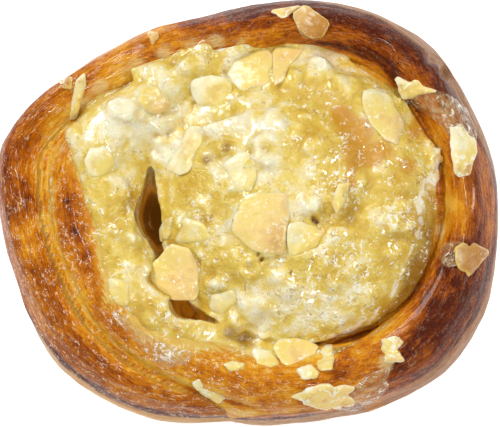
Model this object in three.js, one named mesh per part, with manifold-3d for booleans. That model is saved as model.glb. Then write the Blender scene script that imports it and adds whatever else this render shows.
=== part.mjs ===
// An almond caramel bun. One strip of yeast dough is coiled round a domed core and baked into one piece.
// A caramel cream with flaked almonds lies over its middle, and more flakes have stuck to the crust.
// Millimetres, +Z up. The origin is under the middle of the bun, on the surface that it stands on.

import * as THREE from "three";
import { mergeVertices } from "three/addons/utils/BufferGeometryUtils.js";
import Module from "manifold-3d";

const wasm = await Module();
wasm.setup();

const { degToRad, radToDeg, lerp, smoothstep, seededRandom } = THREE.MathUtils;

// Outline seen from above: a squarish oval that swells or flattens at some angles. Angles are degrees from +X.
const LENGTH = 116;
const WIDTH = 99;
const SQUARENESS = 2.4;
const SWELLS = [
  { angle: 22, spread: 15, share: -0.043 },
  { angle: 98, spread: 22, share: -0.02 },
  { angle: 125, spread: 30, share: -0.128 },
  { angle: 142, spread: 12, share: -0.03 },
  { angle: 166, spread: 10, share: 0.03 },
  { angle: 203, spread: 15, share: -0.039 },
  { angle: 246, spread: 20, share: 0.018 },
  { angle: 312, spread: 25, share: 0.022 },
];

// The coil. Its angle grows by 360 with each round, from the start beside the core to the tapered end.
const CORE = { x: 13, y: 2, radius: 35, height: 36 };
const COIL_START = 80;
const LAST_ROUND = COIL_START + 360;
const TAPER_START = 580;
const COIL_END = 660;
const LAST_ROUND_WIDTH = 12.5;
const END_DIP = 2.2;
const CREST_HEIGHTS = [
  [COIL_START, 30],
  [180, 34],
  [270, 32],
  [360, 31],
  [450, 34],
  [540, 30],
  [610, 27],
  [COIL_END, 22],
];

// Cross-section of the dough: flat below, widest at the belly, round above, its crest leaning in or out.
const BELLY_SHARE = 0.34;
const FLAT_SHARE = 0.85;
const SHOULDER_POWER = 2.1;
const CREST_LEANS = [
  [COIL_START, 0.2],
  [200, 0.26],
  [290, 0.1],
  [350, -0.14],
  [LAST_ROUND, 0],
  [480, 0.4],
  [520, 0.4],
  [590, -0.1],
  [COIL_END, -0.14],
];
const FUSED_WIDTH = 3.6;
const BASE_HEIGHT = 23.5;
const BASE_INSET = 7.5;

// A shallow crease where the core's own last round ends, winding in towards its middle.
const CREASE = {
  from: 165,
  to: -90,
  start: 26,
  fadeIn: 60,
  fadeOut: 15,
  inwardsPerDegree: 0.07,
  halfWidth: 3.2,
  depth: 2.2,
};

// The slit between core and coil, which gapes at three places. Angles are about the core's middle.
const SLIT = { from: 166, to: 352, radius: 34.6, width: 1.8, floor: 22 };
const GAPES = [
  { angle: 187, spread: 12, width: 4.6, deeper: 14, outwards: 0 },
  { angle: 224, spread: 7, width: 3.6, deeper: 9, outwards: 2.6 },
  { angle: 290, spread: 10, width: 1.6, deeper: 2, outwards: 0 },
];
const ABOVE_ALL = 60;

// The caramel cream: its reach from the core's middle, and the lobes that run out over the coil.
const CREAM_REACH = 34;
const CREAM_LOBES = [
  { angle: 205, spread: 60, reach: 14 },
  { angle: 146, spread: 32, reach: 10 },
  { angle: 162, spread: 14, reach: 6.5 },
];
const CREAM_THICKNESS = 2.6;
const CREAM_EDGE = 1.1;
const CREAM_BRIDGING = 3.5;
const CREAM_BOTTOM = 8;
const GAP = 0.3;
const WELD = 1e-3;

// Flaked almonds. Each row: middle x, y, length, width, turn in degrees, tip in degrees, share kept.
const FLAKE_THICKNESS = 1.1;
const FLAKE_SIDES = 10;
const FLAKE_SUNK = 0.45;
const FLAKE_EGG = 0.22;
const FLAKE_DISH = 0.012;
const CREAM_FLAKES = [
  [5.0, -4.5, 16.5, 13.5, 205, 3, 0.7],
  [14.5, -8.2, 11.5, 9.0, 60, -12, 0.9],
  [-15.2, -15.0, 15.0, 13.0, 130, 4, 0.7],
  [33.3, 21.4, 17.5, 9.5, 118, 0, 1.0],
  [-0.2, 6.6, 13.0, 11.0, 35, 4, 0.8],
  [3.5, 32.2, 14.5, 9.0, 10, 0, 0.9],
  [-7.4, 26.1, 11.0, 9.5, 70, 5, 1.0],
  [-13.6, 12.0, 12.5, 8.5, 60, 6, 0.9],
  [-11.2, -6.8, 10.0, 8.0, 160, 6, 0.8],
  [-20.9, 24.8, 8.5, 7.0, 140, 8, 1.0],
  [-33.6, 9.9, 9.5, 8.5, 90, 0, 1.0],
  [11.9, -31.5, 11.0, 7.5, 170, 5, 0.9],
  [-28.0, -19.0, 7.5, 6.0, 100, 4, 0.9],
];
const CRUST_FLAKES = [
  [16.2, 42.8, 10.5, 8.5, 150, 14, 0.8],
  [-21.0, 38.4, 5.5, 4.5, 110, 24, 0.9],
  [-51.0, 14.4, 6.0, 4.0, 70, 12, 1.0],
  [44.6, 26.0, 10.5, 6.5, 160, -8, 0.8],
  [52.2, 12.6, 13.5, 7.5, 105, -6, 0.9],
  [52.4, -12.4, 9.5, 8.5, 40, -14, 0.8],
  [39.2, -33.6, 9.5, 8.0, 60, -8, 0.8],
  [19.5, -44.4, 16.0, 7.0, 5, -8, 1.0],
  [-8.9, -42.2, 7.5, 4.0, 150, 0, 1.0],
];
const SCATTER = {
  seed: 11,
  tries: 46,
  clear: 5.6,
  length: [5.5, 9.5],
  slimness: [0.55, 0.85],
  tip: 4,
  kept: 0.9,
  edge: 0.86,
};

// Falls from 1 at the middle angle to 0 away from it, all the way round.
function bump(angle, middle, spread) {
  const apart = ((((angle - middle) % 360) + 540) % 360) - 180;
  return Math.exp(-((apart / spread) ** 2));
}

// A value that passes smoothly through pairs of an angle and a value.
function between(pairs, angle) {
  const next = pairs.findIndex(([end]) => end >= angle);
  if (next <= 0) return next === 0 ? pairs[0][1] : pairs.at(-1)[1];
  const [start, first] = pairs[next - 1];
  const [end, second] = pairs[next];
  return lerp(first, second, smoothstep(angle, start, end));
}

// The bun's outline, as a distance from its middle.
function outlineRadius(angle) {
  const x = Math.abs(Math.cos(degToRad(angle))) / (LENGTH / 2);
  const y = Math.abs(Math.sin(degToRad(angle))) / (WIDTH / 2);
  const oval = (x ** SQUARENESS + y ** SQUARENESS) ** (-1 / SQUARENESS);
  return oval * SWELLS.reduce((sum, swell) => sum + swell.share * bump(angle, swell.angle, swell.spread), 1);
}

// The core's edge, as a distance from the middle of the bun.
function coreEdge(angle) {
  const along = CORE.x * Math.cos(degToRad(angle)) + CORE.y * Math.sin(degToRad(angle));
  const offset = CORE.x ** 2 + CORE.y ** 2;
  return along + Math.sqrt(along ** 2 - offset + CORE.radius ** 2);
}

// The seam between the coil's two rounds, which closes on the outline as the last round tapers.
function seamRadius(turn) {
  return outlineRadius(turn) - LAST_ROUND_WIDTH * (1 - smoothstep(turn, TAPER_START, COIL_END));
}

// The strip of dough at one turn of the coil: its middle and half width from the bun's middle, and its crest.
// It laps a little over what it is coiled round, and under the round that follows.
// Its end dies into the wall.
function stripAt(turn) {
  const inner = turn < LAST_ROUND ? coreEdge(turn) : seamRadius(turn);
  const lapped = turn + 360 < COIL_END;
  const low = inner - FUSED_WIDTH;
  const edge = outlineRadius(turn) - END_DIP * smoothstep(turn, TAPER_START, COIL_END);
  const high = lapped ? Math.min(seamRadius(turn + 360) + FUSED_WIDTH, edge) : edge;
  return {
    middle: (low + high) / 2,
    half: (high - low) / 2,
    crest: between(CREST_HEIGHTS, turn),
    lean: between(CREST_LEANS, turn),
  };
}

// How high the round top of the dough stands above its belly, across from -1 to 1, as a share.
function shoulder(across) {
  return Math.sqrt(Math.max(0, 1 - Math.abs(across) ** SHOULDER_POWER));
}

// A height in the dough's section: level is 1 at the crest, 0 at the belly and -1 at the flat bottom.
function sectionHeight(level, crest) {
  const belly = crest * BELLY_SHARE;
  return level > 0 ? belly + level * (crest - belly) : belly * (1 + Math.max(-1, level / FLAT_SHARE));
}

// A leaning crest moves each place across the strip, and this finds the place again.
const leaned = (across, lean) => across + lean * (1 - across ** 2);
const unleaned = (moved, lean) => (2 * (moved - lean)) / (1 + Math.sqrt(1 - 4 * lean * (moved - lean)));

// Depth of the crease in the core at a distance and an angle from the core's middle.
function creaseDepth(distance, angle) {
  const wound = angle > CREASE.from ? angle - 360 : angle;
  const line = CREASE.start - (CREASE.from - wound) * CREASE.inwardsPerDegree;
  const fadeIn = smoothstep(wound, CREASE.to, CREASE.to + CREASE.fadeIn);
  const fadeOut = 1 - smoothstep(wound, CREASE.from - CREASE.fadeOut, CREASE.from);
  return CREASE.depth * fadeIn * fadeOut * Math.exp(-(((distance - line) / CREASE.halfWidth) ** 2));
}

// Height of the core's top at a place measured from the core's middle.
function coreTop(x, y) {
  const distance = Math.hypot(x, y);
  const rise = shoulder(distance / (CORE.radius + FUSED_WIDTH));
  return sectionHeight(rise, CORE.height) - creaseDepth(distance, radToDeg(Math.atan2(y, x)));
}

// Height of the dough's top at a place, from the core and from each round of the coil there.
function doughTop(x, y) {
  const distance = Math.hypot(x, y);
  const angle = radToDeg(Math.atan2(y, x));
  const first = angle < COIL_START ? angle + 360 : angle;
  let top = Math.max(BASE_HEIGHT, coreTop(x - CORE.x, y - CORE.y));
  for (let turn = first; turn < COIL_END; turn += 360) {
    const strip = stripAt(turn);
    const moved = (distance - strip.middle) / strip.half;
    if (Math.abs(moved) < 1) {
      const rise = shoulder(unleaned(moved, strip.lean));
      top = Math.max(top, sectionHeight(rise, strip.crest));
    }
  }
  return top;
}

// Edge of the cream, as a distance from the core's middle.
function creamEdge(angle) {
  const furthest = (reach, lobe) => reach + lobe.reach * bump(angle, lobe.angle, lobe.spread);
  return CREAM_LOBES.reduce(furthest, CREAM_REACH);
}

// Top of the cream: it bridges the dough's folds, and towards its edge it thins and clings to them.
function creamTop(x, y) {
  const sides = 8;
  const under = doughTop(x, y);
  let sum = under;
  for (let i = 0; i < sides; i++) {
    const angle = (i / sides) * 2 * Math.PI;
    sum += doughTop(x + CREAM_BRIDGING * Math.cos(angle), y + CREAM_BRIDGING * Math.sin(angle));
  }
  const bridged = Math.max(sum / (sides + 1), under);
  const reach = Math.hypot(x - CORE.x, y - CORE.y) / creamEdge(radToDeg(Math.atan2(y - CORE.y, x - CORE.x)));
  const thinned = smoothstep(reach, 0.75, 1);
  return lerp(bridged + CREAM_THICKNESS, under + CREAM_EDGE, thinned);
}

// A closed geometry as a solid that can be joined and cut.
function solidOf(geometry) {
  const bare = new THREE.BufferGeometry().setAttribute("position", geometry.getAttribute("position"));
  if (geometry.index) bare.setIndex(geometry.index);
  const merged = mergeVertices(bare, WELD);
  const corners = merged.index.array;
  const kept = [];
  for (let i = 0; i < corners.length; i += 3) {
    const [a, b, c] = corners.slice(i, i + 3);
    if (a !== b && b !== c && c !== a) kept.push(a, b, c);
  }
  const vertProperties = merged.attributes.position.array;
  const triVerts = new Uint32Array(kept);
  return new wasm.Manifold(new wasm.Mesh({ numProp: 3, vertProperties, triVerts }));
}

// A solid's surface as a geometry.
function surfaceOf(solid) {
  const { numProp, vertProperties, triVerts } = solid.getMesh();
  const points = new THREE.BufferAttribute(new Float32Array(vertProperties), numProp);
  const geometry = new THREE.BufferGeometry().setAttribute("position", points);
  return geometry.setIndex(new THREE.BufferAttribute(new Uint32Array(triVerts), 1));
}

// The geometry to draw: corners that fell together are welded, and only the largest body is kept.
function geometryOf(solid) {
  const bodies = solidOf(surfaceOf(solid)).decompose();
  const geometry = surfaceOf(bodies.reduce((most, body) => (body.volume() > most.volume() ? body : most)));
  geometry.computeVertexNormals();
  return geometry;
}

// Moves every vertex of a geometry to where a function of its place puts it.
function reshape(geometry, move) {
  const points = geometry.getAttribute("position");
  for (let i = 0; i < points.count; i++) {
    points.setXYZ(i, ...move(points.getX(i), points.getY(i), points.getZ(i)));
  }
  return geometry;
}

// A place from its distance and angle about an upright axis.
function polar(radius, angle, z) {
  return [radius * Math.cos(degToRad(angle)), radius * Math.sin(degToRad(angle)), z];
}

// A stretch of the coiled strip: a cylinder bent along the coil, its round section moulded to the dough's.
// Growing it makes it longer at both ends too.
function stripSolid(from, to, grow) {
  const sides = 20;
  const steps = Math.round((to - from) / 6.5);
  const longer = radToDeg(grow / CORE.radius);
  const rod = new THREE.CylinderGeometry(1, 1, 1, sides, steps);
  return solidOf(
    reshape(rod, (x, y, z) => {
      const strip = stripAt(lerp(from, to, y + 0.5));
      const turn = lerp(from - longer, to + longer, y + 0.5);
      const level = z > 0 ? shoulder(x) : z;
      const radius = strip.middle + (strip.half + grow) * leaned(x, strip.lean);
      return polar(radius, turn, sectionHeight(level, strip.crest + grow));
    }),
  );
}

// The domed core, with its crease.
function coreSolid(grow) {
  const ball = new THREE.SphereGeometry(1, 56, 26).rotateX(Math.PI / 2);
  const reach = CORE.radius + FUSED_WIDTH + grow;
  return solidOf(
    reshape(ball, (x, y, z) => {
      const top = coreTop(x * (CORE.radius + FUSED_WIDTH), y * (CORE.radius + FUSED_WIDTH)) + grow;
      return [CORE.x + x * reach, CORE.y + y * reach, z > 0 ? top : sectionHeight(z, CORE.height)];
    }),
  );
}

// The flat underside that closes the folds from below.
function baseSolid() {
  const slab = new THREE.CylinderGeometry(1, 1, BASE_HEIGHT, 60).rotateX(Math.PI / 2);
  return solidOf(
    reshape(slab, (x, y, z) => {
      const angle = radToDeg(Math.atan2(y, x));
      return polar(Math.hypot(x, y) * (outlineRadius(angle) - BASE_INSET), angle, z + BASE_HEIGHT / 2);
    }),
  );
}

// The slit between core and coil: an upright blade bent round the core, wide and deep where it gapes.
function slitSolid() {
  const sides = 8;
  const steps = 46;
  const blade = new THREE.CylinderGeometry(1, 1, 1, sides, steps);
  return solidOf(
    reshape(blade, (x, y, z) => {
      const angle = lerp(SLIT.from, SLIT.to, y + 0.5);
      const ends = Math.sqrt(Math.max(0.02, 1 - (2 * y) ** 6));
      const gape = GAPES.map((place) => bump(angle, place.angle, place.spread));
      const width = GAPES.reduce((sum, place, i) => sum + place.width * gape[i], SLIT.width) * ends;
      const floor = GAPES.reduce((sum, place, i) => sum - place.deeper * gape[i], SLIT.floor);
      const radius = GAPES.reduce((sum, place, i) => sum + place.outwards * gape[i], SLIT.radius);
      const [px, py] = polar(radius + (x * width) / 2, angle, 0);
      return [CORE.x + px, CORE.y + py, z > 0 ? ABOVE_ALL : lerp((floor + ABOVE_ALL) / 2, floor, -z)];
    }),
  );
}

// All the dough without its almonds. Growing it by a little gives the room that it needs under the cream.
function doughSolid(grow = 0) {
  return baseSolid()
    .add(coreSolid(grow))
    .add(stripSolid(COIL_START, LAST_ROUND, grow))
    .add(stripSolid(LAST_ROUND, COIL_END, grow));
}

// The cream as a lump with the right top, still solid down into the dough.
function creamLump() {
  const rings = 13;
  const profile = [new THREE.Vector2(0, 0), new THREE.Vector2(1, 0)];
  for (let i = rings; i >= 0; i--) profile.push(new THREE.Vector2(i / rings, 1));
  const lump = new THREE.LatheGeometry(profile, 60).rotateX(Math.PI / 2);
  return solidOf(
    reshape(lump, (x, y, z) => {
      const angle = radToDeg(Math.atan2(y, x));
      const [px, py] = polar(Math.hypot(x, y) * creamEdge(angle), angle, 0);
      const place = [CORE.x + px, CORE.y + py];
      return [...place, z > 0.5 ? creamTop(...place) : CREAM_BOTTOM];
    }),
  );
}

// One almond flake: an egg-shaped slice, slightly dished, broken off straight where only a share is kept.
function flakeGeometry(length, width, kept) {
  const outline = new THREE.Shape();
  for (let i = 0; i < FLAKE_SIDES; i++) {
    const angle = ((i + 0.5) / FLAKE_SIDES) * 2 * Math.PI;
    const x = Math.min(Math.cos(angle), 2 * kept - 1) * (length / 2);
    const y = Math.sin(angle) * (1 - FLAKE_EGG * Math.cos(angle)) * (width / 2);
    if (i === 0) outline.moveTo(x, y);
    else outline.lineTo(x, y);
  }
  const slice = new THREE.ExtrudeGeometry(outline, { depth: FLAKE_THICKNESS, bevelEnabled: false });
  return reshape(slice, (x, y, z) => [x, y, z + FLAKE_DISH * x * x]);
}

// A flake laid on a surface: it follows the slope there, turned and tipped, and sinks in a little.
function laidFlake([x, y, length, width, turn, tip, kept], topAt) {
  const step = 2;
  const slope = new THREE.Vector3(
    topAt(x - step, y) - topAt(x + step, y),
    topAt(x, y - step) - topAt(x, y + step),
    2 * step,
  ).normalize();
  const lie = new THREE.Quaternion().setFromUnitVectors(new THREE.Vector3(0, 0, 1), slope);
  const pose = new THREE.Euler(0, degToRad(tip), degToRad(turn), "ZYX");
  lie.multiply(new THREE.Quaternion().setFromEuler(pose));
  const at = new THREE.Vector3(x, y, topAt(x, y) - FLAKE_SUNK * FLAKE_THICKNESS);
  const flake = flakeGeometry(length, width, kept);
  return solidOf(flake.applyMatrix4(new THREE.Matrix4().compose(at, lie, new THREE.Vector3(1, 1, 1))));
}

// Smaller flakes between the large ones, each clear of those already laid.
function scatteredFlakes() {
  seededRandom(SCATTER.seed);
  const within = ([low, high]) => lerp(low, high, seededRandom());
  const laid = [...CREAM_FLAKES];
  for (let i = 0; i < SCATTER.tries; i++) {
    const angle = 360 * seededRandom();
    const reach = SCATTER.edge * creamEdge(angle) * Math.sqrt(seededRandom());
    const [x, y] = polar(reach, angle, 0);
    const length = within(SCATTER.length);
    const width = length * within(SCATTER.slimness);
    const turn = 360 * seededRandom();
    const row = [CORE.x + x, CORE.y + y, length, width, turn, SCATTER.tip, SCATTER.kept];
    const nearest = Math.min(...laid.map((other) => Math.hypot(other[0] - row[0], other[1] - row[1])));
    if (nearest > SCATTER.clear) laid.push(row);
  }
  return laid.slice(CREAM_FLAKES.length);
}

const joined = (solids) => solids.reduce((whole, solid) => whole.add(solid));

// The two pieces: the baked dough, and the cream that takes the dough's form beneath it.
function doughWithFlakes() {
  const flakes = CRUST_FLAKES.map((row) => laidFlake(row, doughTop));
  return joined([doughSolid().subtract(slitSolid()), ...flakes]);
}

function creamWithFlakes() {
  const flakes = [...CREAM_FLAKES, ...scatteredFlakes()].map((row) => laidFlake(row, creamTop));
  return joined([creamLump(), ...flakes]).subtract(doughSolid(GAP)).subtract(slitSolid());
}

function piece(name, solid, color, roughness) {
  const material = new THREE.MeshStandardMaterial({ color, roughness, metalness: 0 });
  const mesh = new THREE.Mesh(geometryOf(solid), material);
  mesh.name = name;
  return mesh;
}

const bun = new THREE.Group();
bun.add(piece("dough_coil", doughWithFlakes(), 0xb8702c, 0.45));
bun.add(piece("almond_cream", creamWithFlakes(), 0xe6cd86, 0.3));

// The coil was drawn about its own middle, and now the middle of the whole bun goes over the origin.
const middle = new THREE.Box3().setFromObject(bun).getCenter(new THREE.Vector3());
for (const mesh of bun.children) mesh.geometry.translate(-middle.x, -middle.y, 0);

export default bun;
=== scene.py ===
"""The looks of an almond caramel bun: a coiled and browned yeast bun under caramel cream and flaked almonds.

Metres and degrees, in the frame of the solids: +Z up, the bun standing on z = 0, its middle over the origin.
"""

import itertools
import math

import bmesh
import bpy
import numpy as np
from mathutils import Matrix, Quaternion, Vector
from mathutils.bvhtree import BVHTree


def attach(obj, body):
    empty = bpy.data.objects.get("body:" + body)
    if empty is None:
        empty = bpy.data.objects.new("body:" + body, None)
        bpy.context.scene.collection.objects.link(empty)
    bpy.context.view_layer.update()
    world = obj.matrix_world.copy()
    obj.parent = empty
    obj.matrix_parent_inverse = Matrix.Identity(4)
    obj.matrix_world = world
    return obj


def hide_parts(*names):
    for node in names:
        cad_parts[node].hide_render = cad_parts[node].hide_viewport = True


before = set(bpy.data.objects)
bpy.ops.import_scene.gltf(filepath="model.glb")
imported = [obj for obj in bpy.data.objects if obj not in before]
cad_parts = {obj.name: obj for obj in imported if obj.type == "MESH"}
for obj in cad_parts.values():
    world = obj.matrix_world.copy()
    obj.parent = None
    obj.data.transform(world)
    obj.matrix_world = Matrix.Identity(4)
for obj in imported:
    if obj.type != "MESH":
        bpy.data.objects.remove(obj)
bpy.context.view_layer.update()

# Outline of the bun seen from above, drawn about the middle of its coil. Angles are degrees from +X.
COIL_MIDDLE = (0.00015, 0.00076, 0)
LENGTH = 0.116
WIDTH = 0.099
SQUARENESS = 2.4
SWELLS = [
    dict(angle=22, spread=15, share=-0.043),
    dict(angle=98, spread=22, share=-0.02),
    dict(angle=125, spread=30, share=-0.128),
    dict(angle=142, spread=12, share=-0.03),
    dict(angle=166, spread=10, share=0.03),
    dict(angle=203, spread=15, share=-0.039),
    dict(angle=246, spread=20, share=0.018),
    dict(angle=312, spread=25, share=0.022),
]

# The core and the strip coiled round it. A turn grows by 360 with each round.
CORE_X, CORE_Y = 0.013, 0.002
CORE_RADIUS = 0.035
CORE_HEIGHT = 0.036
COIL_START = 80
LAST_ROUND = COIL_START + 360
TAPER_START = 580
COIL_END = 660
LAST_ROUND_WIDTH = 0.0125
END_DIP = 0.0022
CREST_HEIGHTS = [(80, 0.030), (180, 0.034), (270, 0.032), (360, 0.031), (450, 0.034), (540, 0.030),
                 (610, 0.027), (660, 0.022)]
CREST_LEANS = [(80, 0.2), (200, 0.26), (290, 0.1), (350, -0.14), (440, 0), (480, 0.4), (520, 0.4),
               (590, -0.1), (660, -0.14)]

# Section of the dough: flat below, widest at the belly, round above.
BELLY_SHARE = 0.34
FLAT_SHARE = 0.85
SHOULDER_POWER = 2.1
FUSED_WIDTH = 0.0036
BASE_HEIGHT = 0.0235
BASE_INSET = 0.0075
SECTION_SIDES = 28
CORE_SIDES = 96
CORE_LEVELS = 64
BASE_SIDES = 90
TURN_STEP = 5

# A shallow crease where the core's own last round ends, winding in towards its middle.
CREASE = dict(start=165, end=-90, fade_in=60, fade_out=15, radius=0.026, inwards=0.00007, half_width=0.0032,
              depth=0.0022)

# The slit between core and coil, the places where it gapes, and the stretch that cream fills.
# Angles are about the core's middle.
SLIT = dict(start=166, end=352, radius=0.0346, width=0.0018, floor=0.022)
GAPES = [dict(angle=187, spread=12, width=0.0046, deeper=0.014, outwards=0),
         dict(angle=224, spread=7, width=0.0036, deeper=0.009, outwards=0.0026),
         dict(angle=290, spread=10, width=0.0016, deeper=0.002, outwards=0)]
FILLED_SLIT = dict(angle=254, spread=20, share=0.9)
# How its width wavers: by this share, over about these degrees.
SLIT_WAVER = [dict(by=0.22, size=3.5, seed=71)]
SLIT_SIDES = 16
SLIT_STEPS = 63
ABOVE_ALL = 0.060

# The cream: its reach from the core's middle, and the lobes that run out over the coil.
CREAM_REACH = 0.034
CREAM_LOBES = [dict(angle=205, spread=60, reach=0.014), dict(angle=146, spread=32, reach=0.010),
               dict(angle=162, spread=14, reach=0.0065)]
# How its ragged edge departs from that.
CREAM_EBBS = [dict(angle=108, spread=20, reach=0.0006), dict(angle=144, spread=11, reach=-0.0026),
              dict(angle=203, spread=14, reach=0.0007), dict(angle=243, spread=14, reach=-0.0028),
              dict(angle=16, spread=42, reach=-0.0034), dict(angle=14, spread=11, reach=0.0030),
              dict(angle=-62, spread=22, reach=0.0012)]
CREAM_RAGS = [dict(by=0.0013, size=0.009, seed=21), dict(by=0.0006, size=0.0035, seed=22)]
MORE_RAGGED = [dict(angle=255, spread=30, share=0.9), dict(angle=20, spread=40, share=0.5)]
# It lies where the dough faces up at least this much, and fills the fold round the core at one place.
LEAST_UPWARDS = 0.35
FILLED_FOLD = dict(angle=88, spread=24, rounds=6, reach=30)
SHEET_SMOOTHING = 14
CREAM_THICKNESS = 0.0026
CREAM_EDGE = -0.0007
CREAM_LIP = dict(angle=-10, spread=75, rise=0.0026)
CREAM_SLOPE = 0.007
# A gape counts where it is this wide, a share further along than it shows, and this far beside it.
LEAST_GAPE = 0.0008
GAPE_REACH = 1.3
GAPE_CLEAR = 0.0026
# Calm stretches of the cream, with few lumps: x, y and size.
CALM_SPOTS = [(-0.031, -0.009, 0.013), (0.028, -0.017, 0.019), (0.030, 0.012, 0.010)]
# Broken flakes and chopped bits sunk in the cream: how many, how far apart and how far inside its edge.
SUNKEN_FLAKES = dict(count=45, clear=0.0065, inside=0.005)
SUNKEN_BITS = dict(count=70, clear=0.0036, inside=0.003)
SUNKEN_KINDS = 5
SUNKEN_FLAKE_LENGTHS = (0.006, 0.0125)
SUNKEN_FLAKE_DEPTHS = (0.0002, 0.0012)
SUNKEN_FLAKE_TIPS = (-9, 9)
# As a share of their length.
SUNKEN_FLAKE_THICKNESS = 0.15
SUNKEN_BIT_SIZES = (0.003, 0.0075)
SUNKEN_BIT_DEPTHS = (0, 0.0006)
# Its ripples and creases, which depart from its surface by this much over about this size.
CREAM_RIPPLES = [dict(by=0.0003, size=0.006, seed=23), dict(by=0.00012, size=0.0026, seed=24)]
CREAM_CREASES = [dict(by=0.00012, size=0.0022, seed=25), dict(by=0.00005, size=0.0012, seed=26)]

# The photo: its size in pixels, and where its camera stands.
PHOTO_WIDTH = 500
PHOTO_HEIGHT = 427
VIEW_TIP = 8
VIEW_TOWARDS = -50
VIEW_DISTANCE = 0.7
VIEW_AIM = Vector((0.0006, -0.0001, 0.015))
FRAME_WIDTH = 0.1158


def flake(*corners, tone=0.5, **lie):
    """An almond flake by its corners in the photo, in pixels, and its tone.

    The tone is 0 for white, 0.5 for yellow, 1 for peach and 2 for amber. A flake may be tipped by degrees
    towards an angle, curled, sunk or covered by a share of its thickness, and have a jagged edge."""
    return dict(corners=corners, tone=tone, **lie)


FLAKE_THICKNESS = 0.0009
FLAKE_SIDES = 64
# Rings of a flake's mesh, as shares of its outline.
FLAKE_RINGS = (0.95, 0.86, 0.6, 0.3)
# How sharply a flake's rim sets in, how much thinner it is there, and how it is twisted and uneven.
RIM_POWER = 6
RIM_THINNING = 0.65
FLAKE_TWISTS = (-0.1, 0.1)
FLAKE_WAVES = [dict(by=0.5, size=0.3, seed=61)]
# How much a flake's tone shifts over its length, and in which direction.
TONE_SHIFT = 0.8
TONE_TOWARDS = (0.8, -0.6)
# How far flakes may lean from the camera, open ones and those that the cream coats.
STEEPEST_FLAKE = 48
STEEPEST_COATED = 22
# Flakes that lie open on the cream.
CREAM_FLAKES = dict(
    broad=flake((251, 192), (288, 192), (288, 219), (283, 254), (264, 254), (249, 249), (230, 228),
        (240, 200), tone=1.0),
    yellow=flake((288, 223), (299, 221), (312, 225), (323, 232), (318, 246), (306, 251), (289, 257),
        (286, 238), tone=0.5, tip=10, towards=-60),
    over_slit=flake((169, 243), (190, 248), (199, 259), (201, 274), (196, 299), (169, 299), (143, 286),
        (152, 263), tone=0.85, sunk=0.1),
    beside_slit=flake((182, 216), (202, 221), (212, 238), (198, 243), (174, 242), tone=0.4,
        covered=0.75),
    upper_right=flake((362, 91), (374, 88), (389, 94), (406, 125), (397, 144), (384, 139), (370, 122),
        (362, 106), tone=0.6, covered=0.85),
    top=flake((224, 75), (238, 54), (248, 49), (271, 48), (272, 86), (251, 86), (240, 90), (231, 80),
        tone=0.45, covered=0.8),
    top_standing=flake((272, 47), (304, 47), (300, 55), (290, 65), (284, 80), (273, 85), tone=0.8,
        tip=14, towards=-20),
    round_left=flake((90, 147), (104, 144), (113, 156), (115, 167), (99, 179), (87, 172), (84, 160),
        tone=0.35, covered=0.85),
    middle_pale=flake((222, 165), (238, 150), (250, 152), (256, 175), (250, 192), (232, 190), tone=0.35,
        covered=0.85),
    lower_yellow=flake((272, 346), (281, 336), (297, 334), (319, 346), (315, 353), (308, 361),
        (286, 369), (278, 357), tone=0.7),
    lower_left=flake((107, 277), (128, 280), (129, 305), (118, 307), (107, 293), tone=0.65,
        covered=0.85),
    by_hollow=flake((209, 293), (234, 289), (236, 302), (220, 318), (210, 309), tone=0.35, covered=0.8),
    in_groove=flake((311, 360), (325, 344), (332, 344), (333, 357), (332, 369), (320, 370), tone=0.35,
        tip=20, towards=150),
    in_groove_left=flake((250, 350), (263, 347), (270, 349), (280, 364), (269, 368), (257, 364),
        tone=0.4, covered=0.85),
    below_groove=flake((295, 369), (309, 363), (320, 371), (316, 378), (302, 379), tone=0.2),
    slit_edge=flake((160, 243), (158, 229), (163, 219), (170, 216), (168, 238), tone=0.4, tip=20,
        towards=180),
    right_sliver=flake((338, 184), (349, 181), (347, 198), (336, 214), (331, 203), tone=0.4,
        covered=0.85),
    spotted=flake((142, 86), (156, 86), (162, 92), (170, 102), (167, 111), (154, 114), (144, 110),
        (138, 102), tone=0.9, sunk=0.3, covered=0.7),
    soft_square=flake((191, 80), (201, 73), (223, 76), (231, 86), (230, 102), (215, 110), (198, 105),
        (190, 92), tone=0.25, sunk=0.3, covered=0.85),
    long_pale=flake((188, 126), (201, 126), (202, 136), (198, 149), (188, 171), (178, 175), (165, 167),
        (179, 145), tone=0.1, sunk=0.3, covered=0.8),
)
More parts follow.
